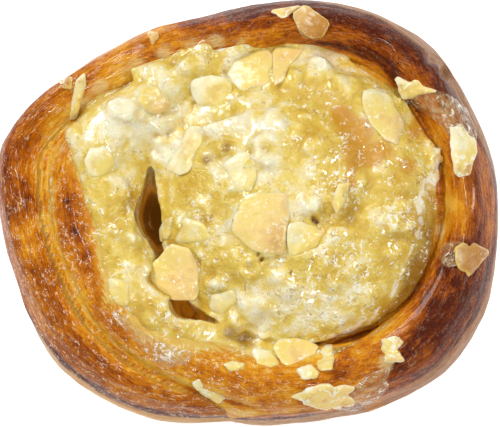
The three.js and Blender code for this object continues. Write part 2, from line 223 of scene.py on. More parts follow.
# Flakes that the cream coats. They are thicker, so that they show through it.
COATED_THICKNESS = 0.0027
COATED_FLAKES = dict(
    below_top=flake((233, 100), (245, 92), (262, 91), (270, 94), (269, 102), (250, 109), (236, 112),
        tone=0.3),
    white_slice=flake((262, 109), (276, 103), (287, 116), (286, 140), (268, 141), tone=0.1),
    left_lump=flake((108, 99), (124, 95), (137, 103), (134, 119), (118, 124), (105, 116), tone=0.1),
    bright_lump=flake((143, 118), (163, 112), (184, 115), (184, 128), (163, 134), (146, 131), tone=0.0),
    slit_lump=flake((152, 138), (166, 134), (173, 146), (168, 164), (154, 166), (148, 152), tone=0.05),
    white_band=flake((197, 128), (222, 117), (244, 111), (250, 120), (236, 130), (206, 136), tone=0.05),
    middle_lump=flake((248, 140), (262, 134), (281, 138), (284, 156), (268, 170), (252, 164), tone=0.1),
    golden_plate=flake((207, 143), (222, 138), (236, 142), (232, 155), (214, 158), tone=0.9),
    upper_lump=flake((128, 70), (146, 61), (168, 61), (172, 76), (152, 84), (133, 84), tone=0.35),
    rim_lump=flake((173, 60), (190, 52), (210, 53), (210, 68), (192, 76), (176, 73), tone=0.4),
    top_right_lump=flake((306, 56), (324, 54), (334, 66), (324, 80), (308, 76), tone=0.3),
    above_hollow=flake((201, 280), (220, 274), (228, 286), (207, 296), tone=0.2),
    fallen=flake((312, 250), (326, 231), (335, 236), (333, 258), (322, 277), (312, 272), tone=0.3),
    curved=flake((298, 198), (312, 190), (324, 196), (322, 212), (306, 219), (297, 212), tone=0.1),
    speckled=flake((326, 196), (340, 184), (351, 188), (350, 210), (338, 225), (326, 214), tone=0.7),
    right_lump=flake((373, 214), (388, 207), (404, 214), (402, 231), (386, 238), (374, 230), tone=0.35),
    cup=flake((237, 262), (246, 254), (259, 256), (264, 267), (256, 279), (241, 278), tone=0.6),
    low_lump=flake((216, 318), (232, 312), (246, 320), (240, 336), (222, 338), tone=0.3),
    left_film_lump=flake((128, 228), (141, 232), (144, 244), (134, 250), (124, 242), tone=0.3),
)
# Flakes stuck to the crust.
CRUST_FLAKES = dict(
    top_curl=flake((292, 14), (304, 3), (331, 22), (322, 37), (311, 38), (298, 30), tone=1.8, tip=10,
        towards=-90, curl=0.3),
    top_small=flake((269, 11), (282, 6), (301, 4), (296, 11), (282, 17), tone=0.9),
    upper_right=flake((395, 80), (398, 76), (409, 82), (414, 77), (421, 85), (437, 91), (421, 95),
        (401, 100), tone=0.45, jagged=0.022),
    right=flake((451, 127), (460, 123), (468, 129), (476, 140), (476, 155), (470, 182), (457, 178),
        (450, 150), tone=0.4, jagged=0.022),
    lower=flake((455, 246), (470, 239), (491, 251), (470, 278), (457, 267), tone=1.9, tip=8,
        towards=20),
    lower_right=flake((380, 338), (398, 336), (405, 340), (398, 350), (404, 359), (393, 364),
        (383, 361), tone=0.7, jagged=0.04),
    bottom=flake((289, 398), (300, 391), (316, 385), (338, 385), (351, 390), (355, 407), (332, 410),
        (304, 402), tone=0.85, jagged=0.045),
    sliver=flake((222, 364), (231, 360), (245, 363), (244, 369), (230, 371), tone=0.5),
    long_sliver=flake((191, 382), (199, 379), (226, 398), (220, 403), (201, 396), tone=0.5, sunk=0.6),
    standing=flake((84, 72), (75, 80), (71, 100), (69, 120), (76, 118), (81, 100), (86, 83), tone=0.4),
    left_curl=flake((58, 81), (64, 77), (73, 77), (70, 88), (62, 88), tone=1.4),
    rim_tip=flake((147, 30), (157, 32), (159, 36), (151, 43), (147, 37), tone=1.5),
)

# Films of clear caramel on the crust, by their corners in the photo.
GLAZE_THICKNESS = 0.0003
FILM_RINGS = (0.96, 0.85, 0.7, 0.5, 0.3, 0.15)
GLAZE_FILMS = dict(
    right=[(402, 98), (414, 86), (437, 88), (455, 96), (470, 110), (479, 130), (477, 150), (466, 153),
        (450, 138), (434, 120), (415, 109)],
    bottom=[(338, 385), (355, 385), (366, 373), (393, 364), (388, 379), (391, 387), (378, 400),
        (352, 414), (332, 410)],
    bubble=[(437, 258), (440, 244), (452, 239), (462, 241), (464, 252), (457, 266), (446, 268)],
    lower_left=[(106, 311), (120, 325), (135, 343), (149, 358), (161, 368), (176, 369), (192, 364),
        (196, 352), (176, 348), (152, 337), (130, 321), (113, 305)],
    top=[(294, 26), (300, 17), (314, 22), (324, 34), (316, 41), (303, 38)],
)

# Fineness of the remeshed surfaces. The dough is first remeshed a little coarser.
DOUGH_VOXEL = 0.00062
FIRST_VOXEL_SHARE = 1.3
CREAM_VOXEL = 0.000447
# Edges that bend more than this stay sharp.
SMOOTH_ANGLE = 40


# Form of the bun

def hill(distance, width):
    """Falls from 1 at no distance to 0 well beyond a width."""
    return np.exp(-((distance / width) ** 2))


def bump(angle, middle, spread):
    """Falls from 1 at the middle angle to 0 away from it, all the way round."""
    return hill((angle - middle + 180) % 360 - 180, spread)


def bumps(angle, rows, name):
    """The sum of one value of some rows, each fading over its spread from its own angle."""
    return sum(row[name] * bump(angle, row["angle"], row["spread"]) for row in rows)


def ease(value, low, high):
    """Rises smoothly from 0 at low to 1 at high."""
    share = np.clip((value - low) / (high - low), 0, 1)
    return share * share * (3 - 2 * share)


def between(pairs, angle):
    """A value that passes smoothly through pairs of an angle and a value."""
    ends, values = np.array(pairs, float).T
    place = np.clip(np.searchsorted(ends, angle) - 1, 0, len(ends) - 2)
    return values[place] + (values[place + 1] - values[place]) * ease(angle, ends[place], ends[place + 1])


def outline_radius(angle):
    """The bun's edge, as a distance from the middle of its coil."""
    x = np.abs(np.cos(np.radians(angle))) / (LENGTH / 2)
    y = np.abs(np.sin(np.radians(angle))) / (WIDTH / 2)
    oval = (x**SQUARENESS + y**SQUARENESS) ** (-1 / SQUARENESS)
    return oval * (1 + bumps(angle, SWELLS, "share"))


def core_edge(angle):
    """The core's edge, as a distance from the middle of the coil."""
    along = CORE_X * np.cos(np.radians(angle)) + CORE_Y * np.sin(np.radians(angle))
    return along + np.sqrt(along**2 - CORE_X**2 - CORE_Y**2 + CORE_RADIUS**2)


def seam_radius(turn):
    """The seam between the coil's two rounds, which closes on the edge as the last round tapers."""
    return outline_radius(turn) - LAST_ROUND_WIDTH * (1 - ease(turn, TAPER_START, COIL_END))


def strip_at(turn):
    """Middle, half width, crest and lean of the strip at a turn of the coil."""
    turn = np.asarray(turn, float)
    inner = np.where(turn < LAST_ROUND, core_edge(turn), seam_radius(turn))
    edge = outline_radius(turn) - END_DIP * ease(turn, TAPER_START, COIL_END)
    lapped = np.minimum(seam_radius(turn + 360) + FUSED_WIDTH, edge)
    low = inner - FUSED_WIDTH
    high = np.where(turn + 360 < COIL_END, lapped, edge)
    return (low + high) / 2, (high - low) / 2, between(CREST_HEIGHTS, turn), between(CREST_LEANS, turn)


def shoulder(across):
    """How high the round top stands above the belly, across from -1 to 1, as a share."""
    return np.sqrt(np.maximum(0, 1 - np.abs(across) ** SHOULDER_POWER))


def section_height(level, crest):
    """A height in the dough's section: level is 1 at the crest, 0 at the belly and -1 at the flat bottom."""
    belly = crest * BELLY_SHARE
    above = belly + level * (crest - belly)
    below = belly * (1 + np.maximum(-1, level / FLAT_SHARE))
    return np.where(level > 0, above, below)


def leaned(across, lean):
    """A place across the strip, moved sideways by the lean of its crest."""
    return across + lean * (1 - across**2)


def unleaned(moved, lean):
    """The place across the strip that the lean moved here."""
    return 2 * (moved - lean) / (1 + np.sqrt(np.maximum(0, 1 - 4 * lean * (moved - lean))))


def polar(radius, angle, height):
    """Points from distances and angles about the middle of the coil."""
    return np.stack([radius * np.cos(np.radians(angle)), radius * np.sin(np.radians(angle)), height], axis=-1)


def core_polar(points):
    """Distance and angle of points about the core's middle."""
    x = points[:, 0] - COIL_MIDDLE[0] - CORE_X
    y = points[:, 1] - COIL_MIDDLE[1] - CORE_Y
    return np.hypot(x, y), np.degrees(np.arctan2(y, x)) % 360


def cream_edge(angle):
    """Edge of the cream, as a distance from the core's middle."""
    return CREAM_REACH + bumps(angle, CREAM_LOBES, "reach")


def lattice(cells):
    """A fixed random value from -1 to 1 for each whole-numbered cell."""
    mixed = (cells * np.array([73856093, 19349663, 83492791])).sum(axis=1) & 0x7FFFFFFF
    mixed = ((mixed ^ (mixed >> 13)) * 1274126177) & 0x7FFFFFFF
    mixed = ((mixed ^ (mixed >> 16)) * 668265263) & 0x7FFFFFFF
    return mixed / 0x3FFFFFFF - 1


def cloud(points, size, seed):
    """Soft random values from -1 to 1 over space, with features of about this size."""
    cell = np.asarray(points, float) / size + seed * 7.31
    low = np.floor(cell).astype(np.int64)
    share = cell - low
    share = share * share * (3 - 2 * share)
    total = np.zeros(len(cell))
    for corner in itertools.product((0, 1), repeat=3):
        weight = np.prod(np.where(corner, share, 1 - share), axis=1)
        total += weight * lattice(low + np.array(corner))
    return total


def rough(points, layers):
    """Unevenness made of layers of cloud, which may be drawn out along the first axis."""
    total = 0
    for layer in layers:
        drawn = points * (layer.get("along", 1), 1, 1)
        total = total + layer["by"] * cloud(drawn, layer["size"], layer["seed"])
    return total


# Modelling by hand

def only(*pieces):
    """Selects these pieces alone, the first one active."""
    bpy.ops.object.select_all(action="DESELECT")
    for piece in pieces:
        piece.select_set(True)
    bpy.context.view_layer.objects.active = pieces[0]


def points_of(piece):
    """The places of a piece's vertices."""
    points = np.empty(len(piece.data.vertices) * 3)
    piece.data.vertices.foreach_get("co", points)
    return points.reshape(-1, 3)


def normals_of(piece):
    """The directions that a piece's surface faces at its vertices."""
    normals = np.empty(len(piece.data.vertices) * 3, np.float32)
    piece.data.vertex_normals.foreach_get("vector", normals)
    return normals.reshape(-1, 3).astype(float)


def set_points(piece, points):
    """Moves a piece's vertices."""
    piece.data.vertices.foreach_set("co", np.asarray(points, np.float32).ravel())
    piece.data.update()


def keep_values(piece, name, values):
    """Keeps one number or one vector for each vertex, for the finish to read."""
    kind, field = ("FLOAT", "value") if np.ndim(values) == 1 else ("FLOAT_VECTOR", "vector")
    layer = piece.data.attributes.new(name, kind, "POINT")
    layer.data.foreach_set(field, np.asarray(values, np.float32).ravel())


def apply_modifier(piece, kind, **settings):
    """Finishes a piece with one modifier."""
    modifier = piece.modifiers.new(kind, kind)
    for name, value in settings.items():
        setattr(modifier, name, value)
    only(piece)
    bpy.ops.object.modifier_apply(modifier=modifier.name)


def remeshed(piece, voxel, smoothing):
    """Evens a piece out to small square faces, and softens it."""
    apply_modifier(piece, "REMESH", mode="VOXEL", voxel_size=voxel, use_smooth_shade=True)
    if smoothing:
        apply_modifier(piece, "SMOOTH", factor=0.5, iterations=smoothing)


def smoothed(piece, values, rounds):
    """Values spread out over a piece's surface, each round averaging every vertex with its neighbours."""
    edges = np.empty(len(piece.data.edges) * 2, np.int64)
    piece.data.edges.foreach_get("vertices", edges)
    ends = edges.reshape(-1, 2)
    here = np.concatenate([ends[:, 0], ends[:, 1]])
    there = np.concatenate([ends[:, 1], ends[:, 0]])
    counts = np.bincount(here, minlength=len(values)) + 1
    for _ in range(rounds):
        values = (values + np.bincount(here, values[there], len(values))) / counts
    return values


def move_selected(piece, place):
    """Moves the vertices selected in edit mode to where a function of their places puts them."""
    mesh = bmesh.from_edit_mesh(piece.data)
    picked = [vertex for vertex in mesh.verts if vertex.select]
    moved = place(np.array([vertex.co for vertex in picked]))
    for vertex, point in zip(picked, moved):
        vertex.co = point
    bmesh.update_edit_mesh(piece.data)


def added(name, operator, **settings):
    """A new primitive, open in edit mode with all of it selected."""
    bpy.ops.object.select_all(action="DESELECT")
    operator(enter_editmode=True, **settings)
    piece = bpy.context.object
    piece.name = name
    piece.data.name = name
    return piece


def added_disc(name, sides):
    """A new flat disc, open in edit mode with all of it selected."""
    return added(name, bpy.ops.mesh.primitive_circle_add, vertices=sides, radius=1, fill_type="NGON")


def closed():
    """Leaves edit mode with every face pointing outwards."""
    bpy.ops.mesh.select_all(action="SELECT")
    bpy.ops.mesh.normals_make_consistent(inside=False)
    bpy.ops.object.mode_set(mode="OBJECT")


def swept(name, sides, turns, first, carry):
    """A bar whose end is extruded from turn to turn. carry moves each new end on from the turn before."""
    bar = added_disc(name, sides)
    move_selected(bar, first)
    for turn, after in zip(turns, turns[1:]):
        bpy.ops.mesh.extrude_region_move()
        move_selected(bar, lambda points: carry(points, turn, after))
    closed()
    return bar


# The dough

def strip_place(across, height_share, turn):
    """Points of the strip at a turn, from places across it and shares of its crest's height."""
    middle, half, crest, lean = strip_at(turn)
    return polar(middle + half * leaned(across, lean), turn, height_share * crest)


def coil_strip():
    """The strip of dough, extruded along the coil from its start beside the core to its tapered end."""
    def first(points):
        across, level = points[:, 0], points[:, 1]
        level = np.where(level > 0, shoulder(across), level)
        return strip_place(across, section_height(level, 1.0), COIL_START)

    def carry(points, turn, after):
        middle, half, crest, lean = strip_at(turn)
        across = unleaned((np.hypot(points[:, 0], points[:, 1]) - middle) / half, lean)
        return strip_place(across, points[:, 2] / crest, after)

    turns = np.arange(COIL_START, COIL_END + TURN_STEP, TURN_STEP)
    return swept("coil_strip", SECTION_SIDES, turns, first, carry)


def crease_depth(distance, angle):
    """How deep the crease in the core is at a distance and an angle from the core's middle."""
    wound = np.where(angle > CREASE["start"], angle - 360, angle)
    line = CREASE["radius"] - (CREASE["start"] - wound) * CREASE["inwards"]
    fade = ease(wound, CREASE["end"], CREASE["end"] + CREASE["fade_in"])
    fade = fade * (1 - ease(wound, CREASE["start"] - CREASE["fade_out"], CREASE["start"]))
    return CREASE["depth"] * fade * hill(distance - line, CREASE["half_width"])


def domed_core():
    """The core that the strip is coiled round."""
    ball = bpy.ops.mesh.primitive_uv_sphere_add
    core = added("domed_core", ball, segments=CORE_SIDES, ring_count=CORE_LEVELS, radius=1)
    reach = CORE_RADIUS + FUSED_WIDTH

    def dome(points):
        across = np.hypot(points[:, 0], points[:, 1])
        level = np.where(points[:, 2] > 0, shoulder(across), points[:, 2])
        angle = np.degrees(np.arctan2(points[:, 1], points[:, 0]))
        height = section_height(level, CORE_HEIGHT) - crease_depth(across * reach, angle) * (points[:, 2] > 0)
        return np.stack([CORE_X + points[:, 0] * reach, CORE_Y + points[:, 1] * reach, height], axis=1)

    move_selected(core, dome)
    closed()
    return core


def flat_base():
    """What fills the folds from below, up to the height where they close."""
    base = added_disc("flat_base", BASE_SIDES)

    def inset(points):
        angle = np.degrees(np.arctan2(points[:, 1], points[:, 0]))
        return polar(outline_radius(angle) - BASE_INSET, angle, np.zeros(len(points)))

    move_selected(base, inset)
    bpy.ops.mesh.extrude_region_move(TRANSFORM_OT_translate={"value": (0, 0, BASE_HEIGHT)})
    closed()
    return base


def slit_blade(filled=0.0):
    """An upright blade bent round the core, wide and deep where the slit gapes, slim where cream fills it."""
    def sizes(angle):
        along = 2 * (angle - SLIT["start"]) / (SLIT["end"] - SLIT["start"]) - 1
        ends = math.sqrt(max(0.02, 1 - along**6))
        width = SLIT["width"] * (1 - filled * bump(angle, FILLED_SLIT["angle"], FILLED_SLIT["spread"]))
        width = width + bumps(angle, GAPES, "width")
        width = width * (1 + float(rough(np.array([[angle, 0, 0]]), SLIT_WAVER)[0]))
        floor = SLIT["floor"] - bumps(angle, GAPES, "deeper")
        return SLIT["radius"] + bumps(angle, GAPES, "outwards"), width * ends, floor

    def place(across, up, angle):
        radius, width, floor = sizes(angle)
        points = polar(radius + across * width / 2, angle, floor + up * (ABOVE_ALL - floor))
        return points + np.array([CORE_X, CORE_Y, 0])

    def first(points):
        return place(points[:, 0], (points[:, 1] + 1) / 2, SLIT["start"])

    def carry(points, angle, after):
        radius, width, floor = sizes(angle)
        across = (np.hypot(points[:, 0] - CORE_X, points[:, 1] - CORE_Y) - radius) / (width / 2)
        return place(across, (points[:, 2] - floor) / (ABOVE_ALL - floor), after)

    angles = np.linspace(SLIT["start"], SLIT["end"], SLIT_STEPS)
    blade = swept("slit_blade", SLIT_SIDES, angles, first, carry)
    blade.data.transform(Matrix.Translation(COIL_MIDDLE))
    return blade


def slit_open(piece, filled=0.0):
    """Cuts the slit into a piece."""
    blade = slit_blade(filled)
    apply_modifier(piece, "BOOLEAN", operation="DIFFERENCE", object=blade, solver="MANIFOLD")
    bpy.data.objects.remove(blade)


def coil_place(points):
    """For points on the dough: their turn, place across the strip, round of the strip and its height there.

    The round is 0 on the core, 1 on the strip's first round and 2 on its last."""
    x = points[:, 0] - COIL_MIDDLE[0]
    y = points[:, 1] - COIL_MIDDLE[1]
    distance = np.hypot(x, y)
    angle = np.degrees(np.arctan2(y, x)) % 360
    first = np.where(angle < COIL_START, angle + 360, angle)
    core_distance, core_angle = core_polar(points)
    core_across = core_distance / (CORE_RADIUS + FUSED_WIDTH)
    best = np.where(core_across < 1, section_height(shoulder(np.minimum(core_across, 1)), CORE_HEIGHT), 0)
    turn, across = core_angle, core_across
    rounds = np.zeros(len(points))
    for number, turns in ((1, first), (2, first + 360)):
        middle, half, top, lean = strip_at(np.minimum(turns, COIL_END))
        moved = (distance - middle) / half
        height = section_height(shoulder(np.clip(unleaned(moved, lean), -1, 1)), top)
        outside = (moved >= 1) & ((number == 2) | (first + 360 >= COIL_END))
        there = (turns < COIL_END) & (((np.abs(moved) < 1) & (height > best)) | outside)
        best = np.where(there, height, best)
        turn = np.where(there, turns, turn)
        across = np.where(there, np.clip(moved, -1, 1), across)
        rounds = np.where(there, number, rounds)
    return turn, across, rounds, best


# The grain's measures: the strip's usual distance from the middle and half width, and a share of heights.
GRAIN_RADIUS = 0.05
GRAIN_HALF_WIDTH = 0.008
GRAIN_HEIGHT_SHARE = 0.6


def coil_grain(turn, across, points):
    """Places along, across and up the strip, so that a grain can run along it."""
    along = np.radians(turn) * GRAIN_RADIUS
    return np.stack([along, across * GRAIN_HALF_WIDTH, points[:, 2] * GRAIN_HEIGHT_SHARE], axis=1)


# Swellings of the dough, and ridges and wrinkles drawn out along its strip.
DOUGH_SWELLS = [dict(by=0.0008, size=0.019, seed=1), dict(by=0.0003, size=0.008, seed=2)]
DOUGH_RIDGES = [dict(by=0.00045, size=0.0034, along=0.07, seed=5),
                dict(by=0.0003, size=0.002, along=0.15, seed=4),
                dict(by=0.0002, size=0.0012, along=0.2, seed=3)]
# Heights between which the relief fades away towards the flat underside.
RELIEF_STARTS = (0.0005, 0.005)
# Dents in the crust: middle and size in pixels of the photo.
DENTS = [(29, 147, 7), (38, 139, 5), (66, 96, 6), (446, 72, 6), (430, 60, 5)]
DENT_DEPTH = 0.0013
# The seam between the coil's rounds: the angles over which it opens and closes, and the line it leaves.
SEAM_OPENS = (128, 150)
SEAM_CLOSES = (262, 285)
SEAM_DEPTH = 0.0011
SEAM_WIDTH = 0.0009


def seam_distance(points):
    """How far points lie outside the seam between the coil's rounds, and how open the seam is there."""
    x = points[:, 0] - COIL_MIDDLE[0]
    y = points[:, 1] - COIL_MIDDLE[1]
    angle = np.degrees(np.arctan2(y, x)) % 360
    open_share = ease(angle, *SEAM_OPENS) * (1 - ease(angle, *SEAM_CLOSES))
    return np.hypot(x, y) - seam_radius(angle + 360), open_share


def dough_relief(dough):
    """Uneven baked dough: soft swellings, ridges and wrinkles that run along the coil, and a few dents."""
    points, normals = points_of(dough), normals_of(dough)
    turn, across, rounds, _ = coil_place(points)
    ridges = rough(coil_grain(turn, across, points), DOUGH_RIDGES)
    dents = DENT_DEPTH * spots(points, DENTS) * (normals[:, 2] > 0.2)
    seam, seam_open = seam_distance(points)
    dents = dents + SEAM_DEPTH * seam_open * hill(seam, SEAM_WIDTH)
    relief = rough(points, DOUGH_SWELLS) + (ridges - dents) * (rounds > 0)
    relief = relief * ease(points[:, 2], *RELIEF_STARTS)
    set_points(dough, points + normals * relief[:, None])


def baked_dough():
    """The whole dough: strip, core and base grown together, slit open beside the core."""
    dough = coil_strip()
    only(dough, domed_core(), flat_base())
    bpy.ops.object.join()
    dough.name = dough.data.name = "bun_dough"
    dough.data.transform(Matrix.Translation(COIL_MIDDLE))
    remeshed(dough, DOUGH_VOXEL * FIRST_VOXEL_SHARE, 2)
    slit_open(dough)
    remeshed(dough, DOUGH_VOXEL, 1)
    dough_relief(dough)
    return dough


# The cream

def cream_inside(points):
    """How far points lie inside the uneven edge of the cream, seen from above."""
    distance, angle = core_polar(points)
    ragged = rough(points * (1, 1, 0), CREAM_RAGS) * (1 + bumps(angle, MORE_RAGGED, "share"))
    return cream_edge(angle) + bumps(angle, CREAM_EBBS, "reach") + ragged - distance


def fold_filling(points):
    """How much the cream fills the fold round the core at points."""
    return bump(core_polar(points)[1], FILLED_FOLD["angle"], FILLED_FOLD["spread"])


def cream_sheet(dough):
    """The top of the dough where the cream lies, as a sheet that is eased over the folds and thickened."""
    only(dough)
    bpy.ops.object.mode_set(mode="EDIT")
    bpy.ops.mesh.select_mode(type="FACE")
    bpy.ops.mesh.select_all(action="DESELECT")
    mesh = bmesh.from_edit_mesh(dough.data)
    faces = list(mesh.faces)
    middles = np.array([face.calc_center_median() for face in faces])
    upwards = np.array([face.normal.z for face in faces])
    covered = (cream_inside(middles) > 0) & (upwards > LEAST_UPWARDS - fold_filling(middles))
    for index in np.flatnonzero(covered):
        faces[index].select_set(True)
    bpy.ops.mesh.duplicate()
    bpy.ops.mesh.separate(type="SELECTED")
    bpy.ops.object.mode_set(mode="OBJECT")
    sheet = next(piece for piece in bpy.context.selected_objects if piece is not dough)
    sheet.name = sheet.data.name = "caramel_cream"
    apply_modifier(sheet, "SMOOTH", factor=0.5, iterations=SHEET_SMOOTHING)
    points = points_of(sheet)
    filled = fold_filling(points)
    for _ in range(FILLED_FOLD["rounds"]):
        sunk = np.maximum(smoothed(sheet, points[:, 2], FILLED_FOLD["reach"]) - points[:, 2], 0)
        points[:, 2] += filled * sunk
    set_points(sheet, points)
    edge = CREAM_EDGE + bumps(core_polar(points)[1], [CREAM_LIP], "rise")
    rise = edge + (CREAM_THICKNESS - edge) * ease(cream_inside(points), 0, CREAM_SLOPE)
    set_points(sheet, points + normals_of(sheet) * rise[:, None])
    apply_modifier(sheet, "SOLIDIFY", thickness=CREAM_THICKNESS, offset=-1)
    return sheet


def in_gape(place):
    """Whether a place lies over one of the gapes of the slit, or close beside it."""
    distance, angle = core_polar(place[None])
    width = sum(gape["width"] * bump(angle[0], gape["angle"], GAPE_REACH * gape["spread"]) for gape in GAPES)
    return width > LEAST_GAPE and abs(distance[0] - SLIT["radius"]) < width / 2 + GAPE_CLEAR


# How often a place is tried for each one that is wanted.
TRIES = 30


def scattered(rng, count, clear, inside):
    """Random places on the cream, clear of each other, of the gapes and of its edge, few where it is calm."""
    places = []
    for _ in range(count * TRIES):
        angle = rng.uniform(0, 360)
        reach = float(cream_edge(angle)) * math.sqrt(rng.uniform(0, 1))
        place = polar(reach, angle, 0.0) + np.array([CORE_X + COIL_MIDDLE[0], CORE_Y + COIL_MIDDLE[1], 0])
        calm = sum(math.exp(-((place[0] - x) ** 2 + (place[1] - y) ** 2) / size**2)
                   for x, y, size in CALM_SPOTS)
        if cream_inside(place[None])[0] < inside or in_gape(place) or rng.uniform(0, 1) < calm:
            continue
        if places and min(np.hypot(*(place - other)[:2]) for other in places) < clear:
            continue
        places.append(place)
        if len(places) == count:
            break
    return places


def surface_of(piece):
    """A piece's surface, to lay things on."""
    return BVHTree.FromObject(piece, bpy.context.evaluated_depsgraph_get())


def lie_on(surface, x, y, reach):
    """The place on a surface straight below a point, and the direction that it faces over that reach."""
    def height(dx, dy):
        place = surface.ray_cast(Vector((x + dx, y + dy, ABOVE_ALL)), Vector((0, 0, -1)))[0]
        return place.z if place else 0.0

    level = height(0, 0)
    sides = [height(dx * reach, dy * reach) for dx, dy in ((1, 0), (-1, 0), (0, 1), (0, -1))]
    sides = [side if abs(side - level) < 2 * reach else level for side in sides]
    facing = Vector((sides[1] - sides[0], sides[3] - sides[2], 2 * reach)).normalized()
    return Vector((x, y, (level + sum(sides) / 4) / 2)), facing


def pressed_in(piece, surface, place, size, turn, tip, sunk):
    """Turns and tips a flat-lying piece and sets it on a surface, sunk in a little."""
    middle, facing = lie_on(surface, place[0], place[1], 0.3 * size)
    lie = Vector((0, 0, 1)).rotation_difference(facing)
    spin = Quaternion((0, 0, 1), math.radians(turn)) @ Quaternion((0, 1, 0), math.radians(tip))
    piece.data.transform(Matrix.Translation(middle - facing * sunk) @ (lie @ spin).to_matrix().to_4x4())
    piece.data.update()


# The almonds

# How much of an outline's sides is cut off at its corners.
CORNER_CUT = 0.13


def rounded(corners, count):
    """Points along a closed outline whose corners are cut off a little, evenly spaced."""
    points = np.asarray(corners, float)
    after = np.roll(points, -1, axis=0)
    near = (1 - CORNER_CUT) * points + CORNER_CUT * after
    far = CORNER_CUT * points + (1 - CORNER_CUT) * after
    points = np.stack([near, far], axis=1).reshape(-1, 2)
    looped = np.concatenate([points, points[:1]])
    along = np.concatenate([[0], np.cumsum(np.hypot(*np.diff(looped, axis=0).T))])
    places = np.linspace(0, along[-1], count, endpoint=False)
    return np.stack([np.interp(places, along, looped[:, 0]), np.interp(places, along, looped[:, 1])], axis=1)


def ringed_disc(name, outline, rings):
    """A flat disc with this outline and rings inside it, each a share of it. It keeps where its rim is."""
    disc = added_disc(name, len(outline))
    middle = outline.mean(axis=0)

    def shrunk(points, share):
        return np.column_stack([middle + (points[:, :2] - middle) * share, points[:, 2]])

    move_selected(disc, lambda points: np.column_stack([outline, np.zeros(len(outline))]))
    before = 1.0
    for share in rings:
        bpy.ops.mesh.select_mode(type="FACE")
        bpy.ops.mesh.inset(thickness=1e-6, use_even_offset=False)
        move_selected(disc, lambda points: shrunk(points, share / before))
        before = share
    bpy.ops.mesh.poke()
    bpy.ops.mesh.select_all(action="SELECT")
    bpy.ops.object.mode_set(mode="OBJECT")
    spokes = outline - middle
    away = points_of(disc)[:, :2] - middle
    turned = np.angle((away @ (1, 1j))[:, None] / (spokes @ (1, 1j))[None])
    reach = np.hypot(*spokes.T)[np.abs(turned).argmin(axis=1)]
    keep_values(disc, "rim", (np.hypot(*away.T) / reach) ** RIM_POWER)
    return disc


def values_of(piece, name):
    """The numbers kept for a piece's vertices."""
    values = np.empty(len(piece.data.vertices))
    piece.data.attributes[name].data.foreach_get("value", values)
    return values


def almond_slice(name, corners, thickness, rng, tone=0.5, curl=0.1, jagged=0.01, rings=FLAKE_RINGS):
    """One almond flake lying flat: an uneven slice with these corners, thin at its rim, slightly dished."""
    outline = rounded(corners, FLAKE_SIDES)
    middle = outline.mean(axis=0)
    length = float(np.ptp(outline, axis=0).max())
    if np.cross(outline[1] - middle, outline[0] - middle) > 0:
        outline = outline[::-1]
    teeth = rng.normal(0, jagged * length, FLAKE_SIDES // 3)
    teeth = np.interp(np.linspace(0, len(teeth), FLAKE_SIDES, endpoint=False), np.arange(len(teeth)), teeth)
    spokes = outline - middle
    outline = outline + spokes * (teeth / np.hypot(*spokes.T))[:, None]
    piece = ringed_disc(name, outline, rings)
    flat = points_of(piece)
    away = (flat[:, :2] - middle) / length
    keep_values(piece, "slice", flat + rng.uniform(0, 1, 3))
    keep_values(piece, "tone", tone + TONE_SHIFT * (away @ TONE_TOWARDS))
    apply_modifier(piece, "SOLIDIFY", thickness=thickness, offset=1)
    points = points_of(piece)
    points[:, 2] *= 1 - RIM_THINNING * values_of(piece, "rim")
    away = (points[:, :2] - middle) / length
    turn = rng.uniform(0, np.pi)
    along = away[:, 0] * np.cos(turn) + away[:, 1] * np.sin(turn)
    points[:, 2] += length * (curl * along**2 + rng.uniform(*FLAKE_TWISTS) * away[:, 0] * away[:, 1])
    points[:, 2] += thickness * rough(points / length + rng.uniform(0, 9), FLAKE_WAVES)
    set_points(piece, points)
    return piece


def joined(name, pieces):
    """Pieces made into one, each keeping its place."""
    only(*pieces)
    bpy.ops.object.join()
    pieces[0].name = pieces[0].data.name = name
    only(pieces[0])
    bpy.ops.object.shade_smooth_by_angle(angle=math.radians(SMOOTH_ANGLE))
    return pieces[0]


def copy_of(piece):
    """A copy of a piece with its own mesh."""
    twin = bpy.data.objects.new(piece.name, piece.data.copy())
    bpy.context.scene.collection.objects.link(twin)
    return twin


# A chopped bit: how many cuts it has, and how far they are from its middle.
BIT_CUTS = 5
BIT_CUT_REACH = (0.26, 0.4)
# A broken flake: its corners, how far each is turned from its place, its reach and its breadth.
BROKEN_CORNERS = 6
BROKEN_TURNS = (-0.35, 0.35)
BROKEN_REACH = (0.34, 0.5)
BROKEN_BREADTH = 0.8


def chopped_bit(name, rng):
    """A chopped bit of almond about one metre long: a ball cut flat on a few sides."""
    bit = added(name, bpy.ops.mesh.primitive_ico_sphere_add, subdivisions=2, radius=0.5)
    for _ in range(BIT_CUTS):
        facing = Vector(rng.normal(0, 1, 3)).normalized()
        cut = facing * rng.uniform(*BIT_CUT_REACH)
        bpy.ops.mesh.select_all(action="SELECT")
        bpy.ops.mesh.bisect(plane_co=cut, plane_no=facing, clear_outer=True, use_fill=True)
    closed()
    return bit


def broken_outline(rng):
    """Corners of a broken flake about one metre long."""
    steps = np.arange(BROKEN_CORNERS) + rng.uniform(*BROKEN_TURNS, BROKEN_CORNERS)
    angles = steps * 2 * np.pi / BROKEN_CORNERS
    reach = rng.uniform(*BROKEN_REACH, BROKEN_CORNERS)
    return np.stack([np.cos(angles) * reach, BROKEN_BREADTH * np.sin(angles) * reach], axis=1)


# Pits in the cream and the rings of burst bubbles: middle and size in pixels of the photo.
PITS = [(257, 255, 2), (261, 260, 2), (316, 222, 2.5), (313, 219, 2), (291, 272, 1.5), (303, 362, 2)]
BUBBLES = [(338, 327, 4.5), (404, 275, 4), (413, 231, 7), (354, 300, 4), (250, 268, 9)]
PIT_DEPTH = 0.0014
BUBBLE_RISE = 0.0004
BUBBLE_DEPTH = 0.0002


